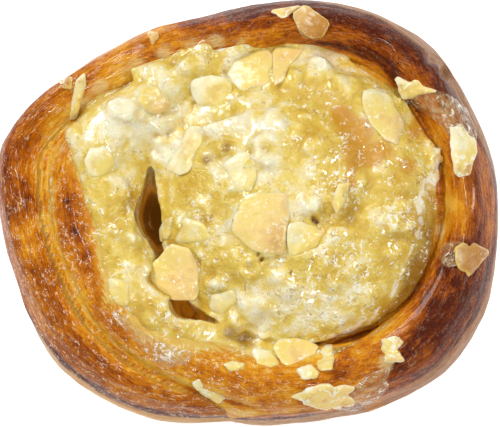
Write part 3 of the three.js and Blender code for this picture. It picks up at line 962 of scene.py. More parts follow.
def sunken_almonds(surface, rng):
    """Broken flakes and chopped bits, strewn over the sheet of cream and pressed into it."""
    flakes = [almond_slice("sunken_flake", broken_outline(rng), SUNKEN_FLAKE_THICKNESS, rng, rings=(0.5,))
              for _ in range(SUNKEN_KINDS)]
    bits = [chopped_bit("sunken_bit", rng) for _ in range(SUNKEN_KINDS)]
    pieces = []
    for place in scattered(rng, **SUNKEN_FLAKES):
        length = rng.uniform(*SUNKEN_FLAKE_LENGTHS)
        twin = copy_of(flakes[rng.integers(len(flakes))])
        twin.data.transform(Matrix.Scale(length, 4))
        turn = rng.uniform(0, 360)
        tip = rng.uniform(*SUNKEN_FLAKE_TIPS)
        pressed_in(twin, surface, place, length, turn, tip, rng.uniform(*SUNKEN_FLAKE_DEPTHS))
        pieces.append(twin)
    for place in scattered(rng, **SUNKEN_BITS):
        size = rng.uniform(*SUNKEN_BIT_SIZES)
        twin = copy_of(bits[rng.integers(len(bits))])
        width = size * rng.uniform(0.6, 1)
        height = size * rng.uniform(0.3, 0.5)
        twin.data.transform(Matrix.Diagonal((size, width, height, 1)))
        turn = rng.uniform(0, 360)
        pressed_in(twin, surface, place, size, turn, 0, rng.uniform(*SUNKEN_BIT_DEPTHS))
        pieces.append(twin)
    for piece in flakes + bits:
        bpy.data.objects.remove(piece)
    return pieces


def cream_relief(cream):
    """Ripples, creases, pits and burst bubbles in the skin of the cream."""
    points, normals = points_of(cream), normals_of(cream)
    relief = rough(points, CREAM_RIPPLES)
    for crease in CREAM_CREASES:
        relief = relief - np.abs(rough(points, [crease]))
    relief = relief - PIT_DEPTH * spots(points, PITS)
    for x, y, size in BUBBLES:
        away = np.hypot(*(photo_pixels(points) - (x, y)).T) / size
        relief = relief + BUBBLE_RISE * hill(away - 1, 0.35) - BUBBLE_DEPTH * hill(away, 0.7)
    set_points(cream, points + normals * relief[:, None])


def lumpy_cream(dough):
    """The cream: its sheet with the almonds that it coats, all under one soft skin."""
    rng = np.random.default_rng(31)
    sheet = cream_sheet(dough)
    surface = surface_of(sheet)
    pieces = sunken_almonds(surface, rng)
    coat = dict(thickness=COATED_THICKNESS, steepest=STEEPEST_COATED)
    pieces += [seen_flake([surface], rng=rng, **coat, **row) for row in COATED_FLAKES.values()]
    cream = joined("caramel_cream", [sheet] + pieces)
    remeshed(cream, CREAM_VOXEL, 2)
    slit_open(cream, FILLED_SLIT["share"])
    remeshed(cream, CREAM_VOXEL, 6)
    cream_relief(cream)
    return cream


# Where the photo shows things

def photo_axes():
    """The directions to the right, up and back of the photo's camera. The top of the picture is +Y."""
    tip, towards = math.radians(VIEW_TIP), math.radians(VIEW_TOWARDS)
    back = Vector((math.sin(tip) * math.cos(towards), math.sin(tip) * math.sin(towards), math.cos(tip)))
    right = Vector((0, 1, 0)).cross(back).normalized()
    return right, back.cross(right), back


def photo_ray(pixel):
    """Where the photo's camera stands, and the direction in which it sees a pixel."""
    right, up, back = photo_axes()
    x = (pixel[0] + 0.5) / PHOTO_WIDTH - 0.5
    y = (PHOTO_HEIGHT / 2 - pixel[1] - 0.5) / PHOTO_WIDTH
    sight = (right * x + up * y) * FRAME_WIDTH - back * VIEW_DISTANCE
    return VIEW_AIM + back * VIEW_DISTANCE, sight.normalized()


def photo_pixels(points):
    """The pixels of the photo at which points are seen."""
    right, up, back = (np.array(axis) for axis in photo_axes())
    away = points - np.array(VIEW_AIM) - back * VIEW_DISTANCE
    scale = PHOTO_WIDTH * VIEW_DISTANCE / FRAME_WIDTH / -(away @ back)
    x = PHOTO_WIDTH / 2 + away @ right * scale
    y = PHOTO_HEIGHT / 2 - away @ up * scale
    return np.stack([x, y], axis=1) - 0.5


def spots(points, rows):
    """How much points belong to spots of the photo, given by their middles and sizes in pixels."""
    pixels = photo_pixels(points)
    return sum(hill(np.hypot(pixels[:, 0] - x, pixels[:, 1] - y), size) for x, y, size in rows)


def within(pixels, corners):
    """Which pixels lie within an outline."""
    inside = np.zeros(len(pixels), bool)
    for (ax, ay), (bx, by) in zip(corners, corners[1:] + corners[:1]):
        if ay != by:
            crossed = (ay > pixels[:, 1]) != (by > pixels[:, 1])
            inside ^= crossed & (pixels[:, 0] < ax + (bx - ax) * (pixels[:, 1] - ay) / (by - ay))
    return inside


def seen_place(surfaces, pixel):
    """The place on some surfaces that the photo shows at a pixel, and the direction that it faces."""
    hits = [surface.ray_cast(*photo_ray(pixel)) for surface in surfaces]
    return min(hits, key=lambda hit: math.inf if hit[3] is None else hit[3])[:2]


# A flake's bed leaves out what lies this far below it, and carries the flake on its higher points.
BED_DROP = 0.003
BED_PERCENTILE = 70
# Up to this height above the bed, what is soft gives way.
SOFT_HEIGHT = 0.004


def bed_of(surfaces, corners, steepest):
    """Place and facing of the level stretch of some surfaces that the photo shows within these corners."""
    corners = np.array(corners, float)
    middle = corners.mean(axis=0)
    pixels = [middle] + [middle + share * (corner - middle) for corner in corners for share in (0.4, 0.8)]
    places = [seen_place(surfaces, pixel)[0] for pixel in pixels]
    places = np.array([place for place in places if place])
    places = places[places[:, 2] > np.median(places[:, 2]) - BED_DROP]
    centre = places.mean(axis=0)
    facing = np.linalg.svd(places - centre)[2][2]
    facing = Vector(facing * (1 if facing[2] > 0 else -1))
    back = photo_axes()[2]
    steep = math.degrees(facing.angle(back))
    if steep > steepest:
        facing = back.slerp(facing, steepest / steep)
    rise = np.percentile((places - centre) @ np.array(facing), BED_PERCENTILE)
    return Vector(centre) + facing * rise, facing


def press_down(piece, corners, place, facing, depth):
    """Presses a piece down to a depth below a place, where the photo shows it within these corners."""
    points = points_of(piece)
    height = (points - np.array(place)) @ np.array(facing)
    low = within(photo_pixels(points), corners) & (height > depth) & (height < SOFT_HEIGHT)
    points[low] -= np.array(facing) * (height[low] - depth)[:, None]
    set_points(piece, points)


def seen_flake(surfaces, corners, rng, tone, soft=None, thickness=FLAKE_THICKNESS, tip=0, towards=0,
               curl=0.06, sunk=0.5, covered=0.3, jagged=0.01, steepest=STEEPEST_FLAKE):
    """A flake on the surfaces, where the photo shows its corners.

    It presses a soft piece down, which then covers its edge up to a share of its thickness."""
    place, facing = bed_of(surfaces, corners, steepest)
    swing = math.radians(towards)
    facing = Quaternion((-math.sin(swing), math.cos(swing), 0), math.radians(tip)) @ facing
    lie = Vector((0, 0, 1)).rotation_difference(facing)
    level = lie.inverted()
    flat = []
    for pixel in corners:
        eye, sight = photo_ray(pixel)
        reach = (place - eye).dot(facing) / sight.dot(facing)
        flat.append((level @ (eye + sight * reach - place))[:2])
    piece = almond_slice("flake", flat, thickness, rng, tone, curl, jagged)
    piece.data.transform(Matrix.Translation(place - facing * sunk * thickness) @ lie.to_matrix().to_4x4())
    piece.data.update()
    if soft:
        press_down(soft, corners, place, facing, (covered - sunk) * thickness)
    return piece


def open_flakes(name, rows, surfaces, soft, seed):
    """The flakes that lie open on the surfaces, as one piece."""
    rng = np.random.default_rng(seed)
    return joined(name, [seen_flake(surfaces, rng=rng, soft=soft, **row) for row in rows.values()])


def glaze_film(surfaces, corners):
    """A thin film that lies on the surfaces where the photo shows these corners, rounded off at its edge."""
    film = ringed_disc("film", rounded(corners, FLAKE_SIDES), FILM_RINGS)
    middle = np.mean(corners, axis=0)
    places = []
    for pixel, edge in zip(points_of(film)[:, :2], values_of(film, "rim")):
        place, facing = seen_place(surfaces, pixel)
        while place is None:
            pixel = 0.95 * pixel + 0.05 * middle
            place, facing = seen_place(surfaces, pixel)
        places.append(place + facing * (GLAZE_THICKNESS * (1 - 1.5 * edge)))
    set_points(film, places)
    return film


def clear_films(surfaces):
    """All films of clear caramel, as one piece."""
    return joined("caramel_glaze", [glaze_film(surfaces, corners) for corners in GLAZE_FILMS.values()])


# What the finishes read from the forms

# How brown the crust is: its crest round the bun, and across a strip from its inner side outwards.
CREST_BROWNING = [(0, 0.85), (20, 0.85), (45, 1.12), (68, 1.1), (90, 0.9), (110, 0.6), (150, 0.55),
                  (168, 0.6), (190, 0.6), (215, 0.66), (240, 0.68), (262, 0.6), (290, 0.54),
                  (308, 0.74), (330, 1.06), (348, 0.95), (360, 0.85)]
OUTER_BROWNING = [(-1, 0.2), (-0.6, 0.4), (-0.25, 0.62), (0.1, 0.88), (0.4, 1.0), (1, 1.0)]
INNER_BROWNING = [(-1, 0.1), (-0.4, 0.2), (0, 0.42), (0.3, 0.6), (0.55, 0.54), (0.8, 0.26), (1, 0.12)]
# Round the bun: the height up to which its side stays pale, and how dark the line above that is.
PALE_HEIGHT = [(0, 0.014), (20, 0.023), (45, 0.0302), (60, 0.0296), (78, 0.0238), (92, 0.0185),
               (110, 0.0145), (135, 0.012), (185, 0.011), (210, 0.018), (250, 0.019), (280, 0.019),
               (300, 0.021), (320, 0.0218), (345, 0.018), (360, 0.014)]
DARK_LINE = [(0, 0.2), (45, 0.6), (80, 0.3), (110, 0.1), (190, 0.2), (220, 0.6), (270, 0.6), (300, 0.3),
             (330, 0.5), (360, 0.2)]
# How many glints are painted on the glaze round the bun.
PAINTED_GLINT_SHARES = [(0, 0.14), (50, 0.14), (110, 0.2), (150, 0.45), (200, 0.7), (260, 0.8), (310, 0.22),
           (330, 0.1), (360, 0.14)]
# Browner and lighter spots of the crust, some of the browner ones painted shade in the groove: middle and
# size in pixels of the photo.
BROWN_AND_SHADE_SPOTS = [(30, 146, 12), (66, 201, 4), (75, 232, 4), (85, 257, 6), (25, 183, 6), (29, 196, 4),
               (39, 238, 8), (44, 250, 6), (50, 268, 7), (56, 284, 7), (448, 74, 12), (105, 300, 14),
               (122, 325, 10), (340, 372, 10), (400, 355, 14), (420, 330, 10), (420, 290, 16),
               (445, 268, 16), (462, 248, 12), (436, 302, 12), (305, 415, 9), (345, 352, 9),
               (360, 340, 8)]
LIGHT_SPOTS = [(52, 150, 6), (50, 190, 8), (50, 222, 8), (118, 70, 22), (160, 40, 20), (455, 205, 12),
               (300, 395, 16), (215, 396, 13), (250, 402, 13), (180, 388, 10), (436, 172, 9),
               (345, 62, 10), (375, 74, 10), (15, 230, 13), (30, 252, 13)]
# Smears of cream on the crust, and the yellow film in its seam, in the same way.
SMEARS = [(138, 62, 11), (165, 54, 11), (190, 46, 10), (215, 41, 10), (240, 42, 9), (100, 88, 10),
          (82, 104, 9), (66, 128, 8), (62, 148, 7), (118, 70, 10), (440, 232, 8), (385, 362, 8),
          (165, 352, 7), (437, 165, 8), (436, 150, 7)]
YELLOW_SEAM = [(51, 180, 4.5), (51, 190, 5), (51, 200, 5), (51, 210, 5), (53, 220, 4)]
# Smears lie only on the upper crust, between no smear and all of it over these heights.
SMEAR_HEIGHTS = (0.018, 0.024)
# Turns over which the strip's first round comes to lie outermost.
OUTSIDE_TURNS = (282, 325)
# Where the core's edge is bare and browned, and the side that the light catches.
BARE_CORE = dict(middle=12, spread=48)
SUNNY = dict(middle=232, spread=42)
# How unevenly brown the crust is, in patches and in streaks along the strip.
BROWN_PATCHES = [dict(by=0.18, size=0.007, seed=51)]
BROWN_STREAKS = [dict(by=0.2, size=0.003, along=0.12, seed=52)]
# How the edge of the pale side waves, how softly it ends, and where the dark line lies above it.
PALE_WAVES = [dict(by=0.0008, size=0.004, along=0.25, seed=53)]
PALE_PATCHES = [dict(by=0.0009, size=0.011, seed=58)]
PALE_ENDS = (-0.0020, 0.0012)
DARK_LINE_ABOVE = 0.0013
DARK_LINE_WIDTH = 0.0012
# The seam is dark in its middle and golden beside it, up to these angles.
GOLDEN_SEAM_ENDS = (232, 255)
GOLDEN_SEAM_INSIDE = 0.0004
GOLDEN_SEAM_WIDTH = 0.0024
DARK_SEAM_WIDTH = 0.0005
# The film of cream on the strip: angles over which it starts and ends, how it fades at its ragged edge, and
# where it reaches further out.
FILM_STARTS = (100, 130)
FILM_ENDS = (265, 290)
FILM_FADES = (-0.0040, 0.0044)
FILM_RAGS = [dict(by=0.0014, size=0.004, seed=54)]
FILM_REACH = [dict(angle=229, spread=17, reach=0.0042)]
SMEAR_RAGS = [dict(by=0.5, size=0.0035, seed=55)]
# How far beside the slit its hollow reaches, and over which depths it darkens with painted shade and takes a
# painted glow.
SLIT_SIDE = 0.0065
HOLLOW_DEPTHS = (0.002, 0.010)
SHALLOW_SPREAD = 18


def crust_browning(points, turn, across, rounds, outermost, above):
    """How brown the crust is, from 0 to 1. above is the height above the pale side."""
    angle = turn % 360
    outer = between(OUTER_BROWNING, across) * between(CREST_BROWNING, angle)
    brown = outer * outermost + between(INNER_BROWNING, across) * (1 - outermost)
    bare = bump(angle, **BARE_CORE) * ease(across, 0.7, 0.85)
    brown = np.where(rounds == 0, 0.08 + 0.2 * ease(across, 0.8, 1) + 0.42 * bare, brown)
    patchy = rough(points, BROWN_PATCHES) + rough(coil_grain(turn, across, points), BROWN_STREAKS)
    patchy = patchy + between(DARK_LINE, angle) * hill(above - DARK_LINE_ABOVE, DARK_LINE_WIDTH) * outermost
    patchy = patchy + 0.3 * spots(points, BROWN_AND_SHADE_SPOTS) - 0.3 * spots(points, LIGHT_SPOTS)
    seam, seam_open = seam_distance(points)
    golden = seam_open * (1 - ease(angle, *GOLDEN_SEAM_ENDS))
    patchy = patchy - 0.3 * golden * hill(seam + GOLDEN_SEAM_INSIDE, GOLDEN_SEAM_WIDTH)
    patchy = patchy + 0.55 * seam_open * hill(seam, DARK_SEAM_WIDTH)
    return np.clip(brown + patchy * np.where(rounds > 0, 1, bare), 0, 1)


def cream_film(points, outermost):
    """How much of a film of cream lies on the crust."""
    angle = core_polar(points)[1]
    filmed = cream_inside(points) + rough(points, FILM_RAGS) + bumps(angle, FILM_REACH, "reach")
    film = ease(filmed, *FILM_FADES) * (1 - outermost)
    film = film * ease(angle, *FILM_STARTS) * (1 - ease(angle, *FILM_ENDS))
    return np.maximum(film, np.clip(spots(points, YELLOW_SEAM), 0, 1))


def dough_values(dough):
    """How brown, how pale, how creamy and how deep in the slit the dough is, for painted shade and a painted
    glow there, how many glints are painted on it, and its grain along the coil.
    """
    points = points_of(dough)
    height = points[:, 2]
    turn, across, rounds, top = coil_place(points)
    angle = turn % 360
    outermost = np.where(rounds == 2, 1.0, ease(turn, *OUTSIDE_TURNS) * (rounds == 1))
    grain = coil_grain(turn, across, points)
    line = between(PALE_HEIGHT, angle) + rough(grain * (1, 0, 0), PALE_WAVES) + rough(points, PALE_PATCHES)
    above = height - line
    smear = np.clip(spots(points, SMEARS), 0, 1)
    smear = (smear + rough(points, SMEAR_RAGS) * (smear > 0.2)) * ease(height, *SMEAR_HEIGHTS)
    core_distance, core_angle = core_polar(points)
    # Deep in the slit the dough gets painted shade and a painted glow.
    near_slit = np.abs(core_distance - SLIT["radius"]) < SLIT_SIDE
    hollow = np.where(near_slit, ease(top - height, *HOLLOW_DEPTHS), 0)
    keep_values(dough, "brown", crust_browning(points, turn, across, rounds, outermost, above))
    keep_values(dough, "sparkle", between(PAINTED_GLINT_SHARES, angle))
    keep_values(dough, "pale", outermost * (across > 0.1) * (1 - ease(above, *PALE_ENDS)))
    keep_values(dough, "sunny", bump(angle, **SUNNY))
    keep_values(dough, "film", cream_film(points, outermost))
    keep_values(dough, "smear", smear)
    keep_values(dough, "hollow", hollow * (1 - 0.5 * bump(core_angle, GAPES[1]["angle"], SHALLOW_SPREAD)))
    keep_values(dough, "grain", grain)


# Spots of the cream by their colour, and spots of painted shade and painted glints: middle and size in pixels
# of the photo.
WHITE_SPOTS = [(130, 112, 26), (160, 88, 20), (105, 128, 16), (188, 112, 18), (208, 130, 22),
               (245, 128, 24), (275, 122, 16), (218, 160, 18), (262, 170, 18), (180, 150, 14),
               (150, 135, 20), (300, 185, 16), (255, 322, 13), (362, 292, 12), (330, 306, 20),
               (248, 300, 16), (215, 340, 12), (135, 235, 10), (290, 300, 14), (115, 165, 14),
               (235, 60, 12), (318, 62, 12), (270, 280, 16), (300, 210, 14), (225, 235, 12),
               (300, 322, 14), (165, 160, 14), (300, 58, 14), (330, 66, 14), (345, 82, 10),
               (375, 215, 14), (325, 52, 10), (438, 168, 10), (438, 185, 7)]
GOLDEN_SPOTS = [(330, 100, 22), (305, 82, 14), (352, 195, 18), (362, 225, 16), (385, 255, 14),
                (132, 200, 11), (118, 225, 10), (190, 192, 9), (225, 148, 12), (200, 152, 12),
                (330, 265, 13), (205, 222, 10), (330, 345, 18), (385, 305, 14), (210, 270, 10),
                (150, 310, 14), (180, 335, 12), (310, 135, 12), (335, 150, 14), (400, 180, 22),
                (408, 222, 18)]
# Where most glints are painted.
PAINTED_GLINT_SPOTS = [(345, 262, 24), (362, 288, 20), (305, 300, 22), (400, 218, 20), (330, 325, 16),
                 (135, 200, 18), (200, 215, 14), (350, 190, 18), (275, 230, 14), (165, 320, 14)]
TOASTED_SPOTS = [(338, 112, 10), (346, 124, 12), (362, 132, 17), (352, 146, 12), (352, 165, 9),
                 (351, 182, 8), (370, 160, 10), (385, 150, 11), (414, 130, 12), (408, 165, 12)]
# Spots of painted olive shade.
OLIVE_SHADE_SPOTS = [(246, 342, 10), (230, 331, 9), (262, 356, 7), (345, 350, 9), (330, 352, 7),
               (206, 160, 6), (226, 147, 7)]

# The cream is thin and toasted along two stretches of its edge: how far in that goes, and its ragged line.
THIN_LEFT = dict(middle=195, spread=38)
THIN_LEFT_ENDS = (0.0002, 0.0052)
THIN_LEFT_RAGS = [dict(by=0.001, size=0.003, seed=56)]
THIN_RIGHT = dict(middle=8, spread=34)
THIN_RIGHT_GAP = dict(middle=15, spread=9)
THIN_RIGHT_ENDS = (0.0, 0.0022)
THIN_RIGHT_RAGS = [dict(by=0.001, size=0.003, seed=57)]
# Painted shade on its lip beside the groove, with a painted highlight along the lip's crest, and how far in
# that goes.
SHADED_LIP = dict(middle=-42, spread=44)
SHADED_LIP_ENDS = (0.0006, 0.0066)
LIP_GRAIN = 0.004
# What counts as a full rise and a full crevice, and over how many rounds of smoothing they are told. Crevices
# get painted shade.
FULL_RISE = 0.0010
RISE_ROUNDS = 44
FULL_CREVICE = 0.0004
CREVICE_ROUNDS = 18


def toasted_edge(points, inside, angle):
    """How toasted the thin edge of the cream is."""
    left = ease(inside + rough(points, THIN_LEFT_RAGS), *THIN_LEFT_ENDS)
    right = ease(inside + rough(points, THIN_RIGHT_RAGS), *THIN_RIGHT_ENDS)
    right_stretch = 0.7 * (bump(angle, **THIN_RIGHT) - 0.9 * bump(angle, **THIN_RIGHT_GAP))
    return bump(angle, **THIN_LEFT) * (1 - left) + right_stretch * (1 - right)


def cream_values(cream):
    """How raised, how white, how toasted and how creased the cream is, and its lip beside the groove, for its
    colour and for its painted shade and glints.
    """
    points = points_of(cream)
    height = points[:, 2]
    keep_values(cream, "relief", (height - smoothed(cream, height, RISE_ROUNDS)) / FULL_RISE)
    white = spots(points, WHITE_SPOTS) - spots(points, GOLDEN_SPOTS)
    pixels = photo_pixels(points)
    for row in COATED_FLAKES.values():
        white = np.where(within(pixels, row["corners"]), 0.7 * white + 1.6 * (0.4 - row["tone"]), white)
    keep_values(cream, "white", smoothed(cream, white, 2))
    inside, angle = cream_inside(points), core_polar(points)[1]
    toasted = spots(points, TOASTED_SPOTS) + 1.1 * toasted_edge(points, inside, angle)
    keep_values(cream, "toasted", toasted)
    keep_values(cream, "olive", spots(points, OLIVE_SHADE_SPOTS))
    # Painted shade and a painted highlight on the lip beside the groove.
    keep_values(cream, "lip", bump(angle, **SHADED_LIP) * (1 - ease(inside, *SHADED_LIP_ENDS)))
    keep_values(cream, "edge_grain", np.stack([inside, np.radians(angle) * LIP_GRAIN, 0 * angle], axis=1))
    keep_values(cream, "pit", spots(points, PITS))
    # Where most glints are painted.
    keep_values(cream, "glitter", np.clip(spots(points, PAINTED_GLINT_SPOTS), 0, 1))
    # Painted shade: darker where the cream lies below its smoothed surface.
    eased = np.stack([smoothed(cream, values, CREVICE_ROUNDS) for values in points.T], axis=1)
    depth = ((eased - points) * normals_of(cream)).sum(axis=1)
    keep_values(cream, "crevice", smoothed(cream, depth, 2) / FULL_CREVICE)


# Finishes

class Value:
    """A number, colour or vector in a finish. Python's operators on numbers add the Math nodes."""

    def __init__(self, finish, socket):
        self.finish = finish
        self.socket = socket

    def math(self, operation, first, second):
        return self.finish.node("ShaderNodeMath", dict(operation=operation), {0: first, 1: second})

    def __add__(self, other):
        return self.math("ADD", self, other)

    def __sub__(self, other):
        return self.math("SUBTRACT", self, other)

    def __rsub__(self, other):
        return self.math("SUBTRACT", other, self)

    def __mul__(self, other):
        return self.math("MULTIPLY", self, other)

    def __abs__(self):
        return self.math("ABSOLUTE", self, 0)

    __radd__ = __add__
    __rmul__ = __mul__


class Finish:
    """A material under construction."""

    def __init__(self, name):
        self.material = bpy.data.materials.new(name)
        self.material.use_nodes = True
        self.tree = self.material.node_tree
        self.shader = self.tree.nodes["Principled BSDF"]

    def node(self, kind, settings=None, sockets=None, output=0):
        """Adds a node: its settings first, then its sockets' values or links. Gives one of its outputs."""
        node = self.tree.nodes.new(kind)
        for name, value in (settings or {}).items():
            if name == "stops":
                self.set_stops(node.color_ramp, value)
            else:
                setattr(node, name, value)
        for name, value in (sockets or {}).items():
            self.plug(node.inputs[name], value)
        return Value(self, node.outputs[output])

    def plug(self, socket, value):
        """Links a value to a socket, or sets the socket's own number or colour."""
        if isinstance(value, Value):
            self.tree.links.new(value.socket, socket)
        elif isinstance(value, tuple) and len(value) == 3 and socket.type == "RGBA":
            socket.default_value = (*value, 1)
        else:
            socket.default_value = value

    def set_stops(self, ramp, stops):
        """Gives a ramp as many stops as are asked for."""
        while len(ramp.elements) < len(stops):
            ramp.elements.new(1)
        for element, (place, color) in zip(ramp.elements, stops):
            element.position = place
            element.color = (*color, 1)

    def kept(self, name, vector=False):
        """A value kept with the piece's vertices."""
        output = "Vector" if vector else "Fac"
        return self.node("ShaderNodeAttribute", dict(attribute_name=name), output=output)

    def places(self):
        """Places in the piece's own space."""
        return self.node("ShaderNodeTexCoord", output="Object")

    def stretched(self, vector, factors):
        """A vector with each of its parts multiplied."""
        return self.node("ShaderNodeVectorMath", dict(operation="MULTIPLY"), {0: vector, 1: factors})

    def noise(self, vector, scale, detail=2.0, roughness=0.5, distortion=0.0):
        """Soft noise from 0 to 1, with features about 1 / scale metres wide."""
        return self.node("ShaderNodeTexNoise", None, {"Vector": vector, "Scale": scale, "Detail": detail,
                                                      "Roughness": roughness, "Distortion": distortion})

    def lines(self, noise, width, level=0.5):
        """Thin winding lines, where a noise passes a level."""
        return self.span(abs(noise - level), width, 0.3 * width)

    def strokes(self, vector, scale, width, patches, level=0.5, more=0.0):
        """Short winding strokes in patches, where a noise passes two levels. It may be raised for more."""
        winding = self.noise(vector, scale, 1, 0.5, 0.8)
        cuts = self.span(self.noise(vector, 1.6 * scale, 1), 0.46, 0.55)
        spread = self.noise(vector, 0.45 * scale, 2) + more
        return self.lines(winding, width, level) * cuts * self.span(spread, *patches)

    def span(self, value, low, high, to_low=0.0, to_high=1.0):
        """Maps a range of values smoothly to another."""
        return self.node("ShaderNodeMapRange", dict(interpolation_type="SMOOTHSTEP"), {
            "Value": value, "From Min": low, "From Max": high, "To Min": to_low, "To Max": to_high})

    def ramp(self, value, stops):
        """A colour between stops, each a place from 0 to 1 and its colour."""
        return self.node("ShaderNodeValToRGB", dict(stops=stops), {"Fac": value})

    def mix(self, share, first, second):
        """The first colour, with a share of the second."""
        return self.node("ShaderNodeMix", dict(data_type="RGBA"), {0: share, 6: first, 7: second}, 2)

    def bumped(self, height, distance, strength):
        """A surface that seems uneven. The distance is that between heights of 0 and 1."""
        sockets = {"Height": height, "Distance": distance, "Strength": strength}
        return self.node("ShaderNodeBump", None, sockets)

    def shade(self, piece, **sockets):
        """Sets the shader's own sockets, named with _ for spaces, and gives the finish to a piece."""
        for name, value in sockets.items():
            self.plug(self.shader.inputs[name.replace("_", " ")], value)
        piece.data.materials.clear()
        piece.data.materials.append(self.material)


def color(red, green, blue):
    """A colour given as on a screen, 0 to 255, turned to the light that it stands for."""
    shares = np.array([red, green, blue]) / 255
    light = np.where(shares <= 0.04045, shares / 12.92, ((shares + 0.055) / 1.055) ** 2.4)
    return tuple(float(share) for share in light)


GOLDEN = color(238, 188, 66)
ORANGE = color(227, 152, 24)
RUSSET = color(198, 111, 4)
CHESTNUT = color(148, 67, 0)
DARKEST = color(84, 24, 0)
PALE_CRUMB = color(190, 142, 104)
PALE_STREAK = color(142, 94, 58)
SUNNY_SIDE = color(238, 184, 116)
# Painted glints: white dashes and strokes that stand in for highlights on the glaze.
PAINTED_GLINT = color(255, 238, 206)
CUSTARD = color(226, 190, 98)
AMBER_FILM = color(214, 138, 24)
SMEAR_CREAM = color(242, 218, 152)
# Painted shade deep in the slit, and a painted glow that stands in for light coming through the dough.
SLIT_SHADE = color(120, 76, 20)
SLIT_GLOW = color(64, 36, 4)
SHALLOW_GLOW = color(116, 68, 6)
NO_GLOW = color(0, 0, 0)
BAKED_TONES = [(0.0, GOLDEN), (0.25, ORANGE), (0.5, RUSSET), (0.76, CHESTNUT), (1.0, DARKEST)]
SLIT_TONES = [(0.0, NO_GLOW), (0.5, SHALLOW_GLOW), (1.0, SLIT_GLOW)]


def crust_finish(dough):
    """Glazed crust: golden in the folds, dark on the ridges, pale at the sides, creamy next to the cream,
    with painted glints, and painted shade and a painted glow deep in the slit.
    """
    crust = Finish("crust")
    grain = crust.kept("grain", vector=True)
    places = crust.places()
    streaks = crust.span(crust.noise(crust.stretched(grain, (0.13, 1.0, 1.0)), 1900, 3, 0.6), 0.3, 0.7)
    fibres = crust.span(crust.noise(crust.stretched(grain, (0.16, 1.0, 1.0)), 3800, 2), 0.3, 0.7)
    speckle = crust.noise(places, 1500, 3, 0.65)
    mottle = crust.noise(crust.stretched(grain, (0.5, 1.0, 1.0)), 620, 3, 0.6)
    browned = crust.kept("brown") + (streaks - 0.5) * 0.2 + (fibres - 0.5) * 0.14 + (speckle - 0.5) * 0.5
    browned = browned + (mottle - 0.5) * 0.8
    baked = crust.ramp(browned, BAKED_TONES)
    side = crust.mix(fibres * 0.8 + (streaks - 0.5) * 0.5, PALE_CRUMB, PALE_STREAK)
    side = crust.mix(crust.kept("sunny") * (1 - fibres * 0.4), side, SUNNY_SIDE)
    pale = crust.span(crust.kept("pale") + (fibres - 0.5) * 0.6, 0.15, 0.85)
    film = crust.span(crust.kept("film") + (speckle - 0.5) * 0.5 + (fibres - 0.5) * 0.2, 0.2, 0.9)
    # Painted glints along the grain, standing in for highlights on the glaze.
    crust_glints = crust.strokes(crust.stretched(grain, (0.5, 1.0, 1.0)), 2200, 0.09, (0.48, 0.6))
    skin = crust.mix(crust_glints * crust.kept("sparkle"), baked, PAINTED_GLINT)
    skin = crust.mix(pale, skin, side)
    skin = crust.mix(crust.span(film + (streaks - 0.5) * 0.3, 0.1, 0.8) * 0.8, skin, AMBER_FILM)
    skin = crust.mix(crust.span(film + (streaks - 0.5) * 0.2, 0.75, 1.05), skin, CUSTARD)
    # Painted glints on the film of cream.
    skin = crust.mix(crust.strokes(places, 620, 0.08, (0.46, 0.62)) * film * 0.9, skin, PAINTED_GLINT)
    smear = crust.span(crust.kept("smear") + (fibres - 0.5) * 0.5 + (speckle - 0.5) * 0.8, 0.35, 0.95)
    skin = crust.mix(smear * 0.55, skin, SMEAR_CREAM)
    # Painted shade deep in the slit.
    hollow = crust.kept("hollow")
    skin = crust.mix(hollow, skin, SLIT_SHADE)
    height = streaks * 0.5 + fibres * 0.35 + speckle * 0.6
    crust.shade(
        dough,
        Base_Color=skin,
        Roughness=crust.span(speckle, 0.3, 0.7, 0.26, 0.5) + pale * 0.2 - film * 0.12,
        Normal=crust.bumped(height, 0.0005, 0.7),
        Specular_IOR_Level=0.09,
        Coat_Weight=0.15,
        Coat_Roughness=0.08,
        Subsurface_Weight=0.12,
        Subsurface_Radius=(1.0, 0.45, 0.2),
        Subsurface_Scale=0.0015,
        # A painted glow deep in the slit, though it is no lamp.
        Emission_Color=crust.ramp(hollow, SLIT_TONES),
        Emission_Strength=1.0,
    )


CREAM_WHITE = color(248, 240, 206)
CREAM_YELLOW = color(234, 206, 96)
CREAM_POOL = color(207, 159, 24)
# Painted shade in the cream's crevices and beside its painted glints.
CREAM_SHADE = color(176, 122, 8)
TOASTED_CREAM = color(210, 144, 12)
# Painted shade in the pits.
PIT_SHADE = color(110, 58, 6)
# Painted olive shade, on the lip beside the groove and in spots.
OLIVE_SHADE = color(150, 100, 16)
# Painted glints: light strokes that stand in for highlights on the wet cream and the almonds.
CREAM_PAINTED_GLINT = color(255, 250, 230)
CREAM_TONES = [(0.0, CREAM_POOL), (0.42, CREAM_YELLOW), (0.84, CREAM_WHITE)]


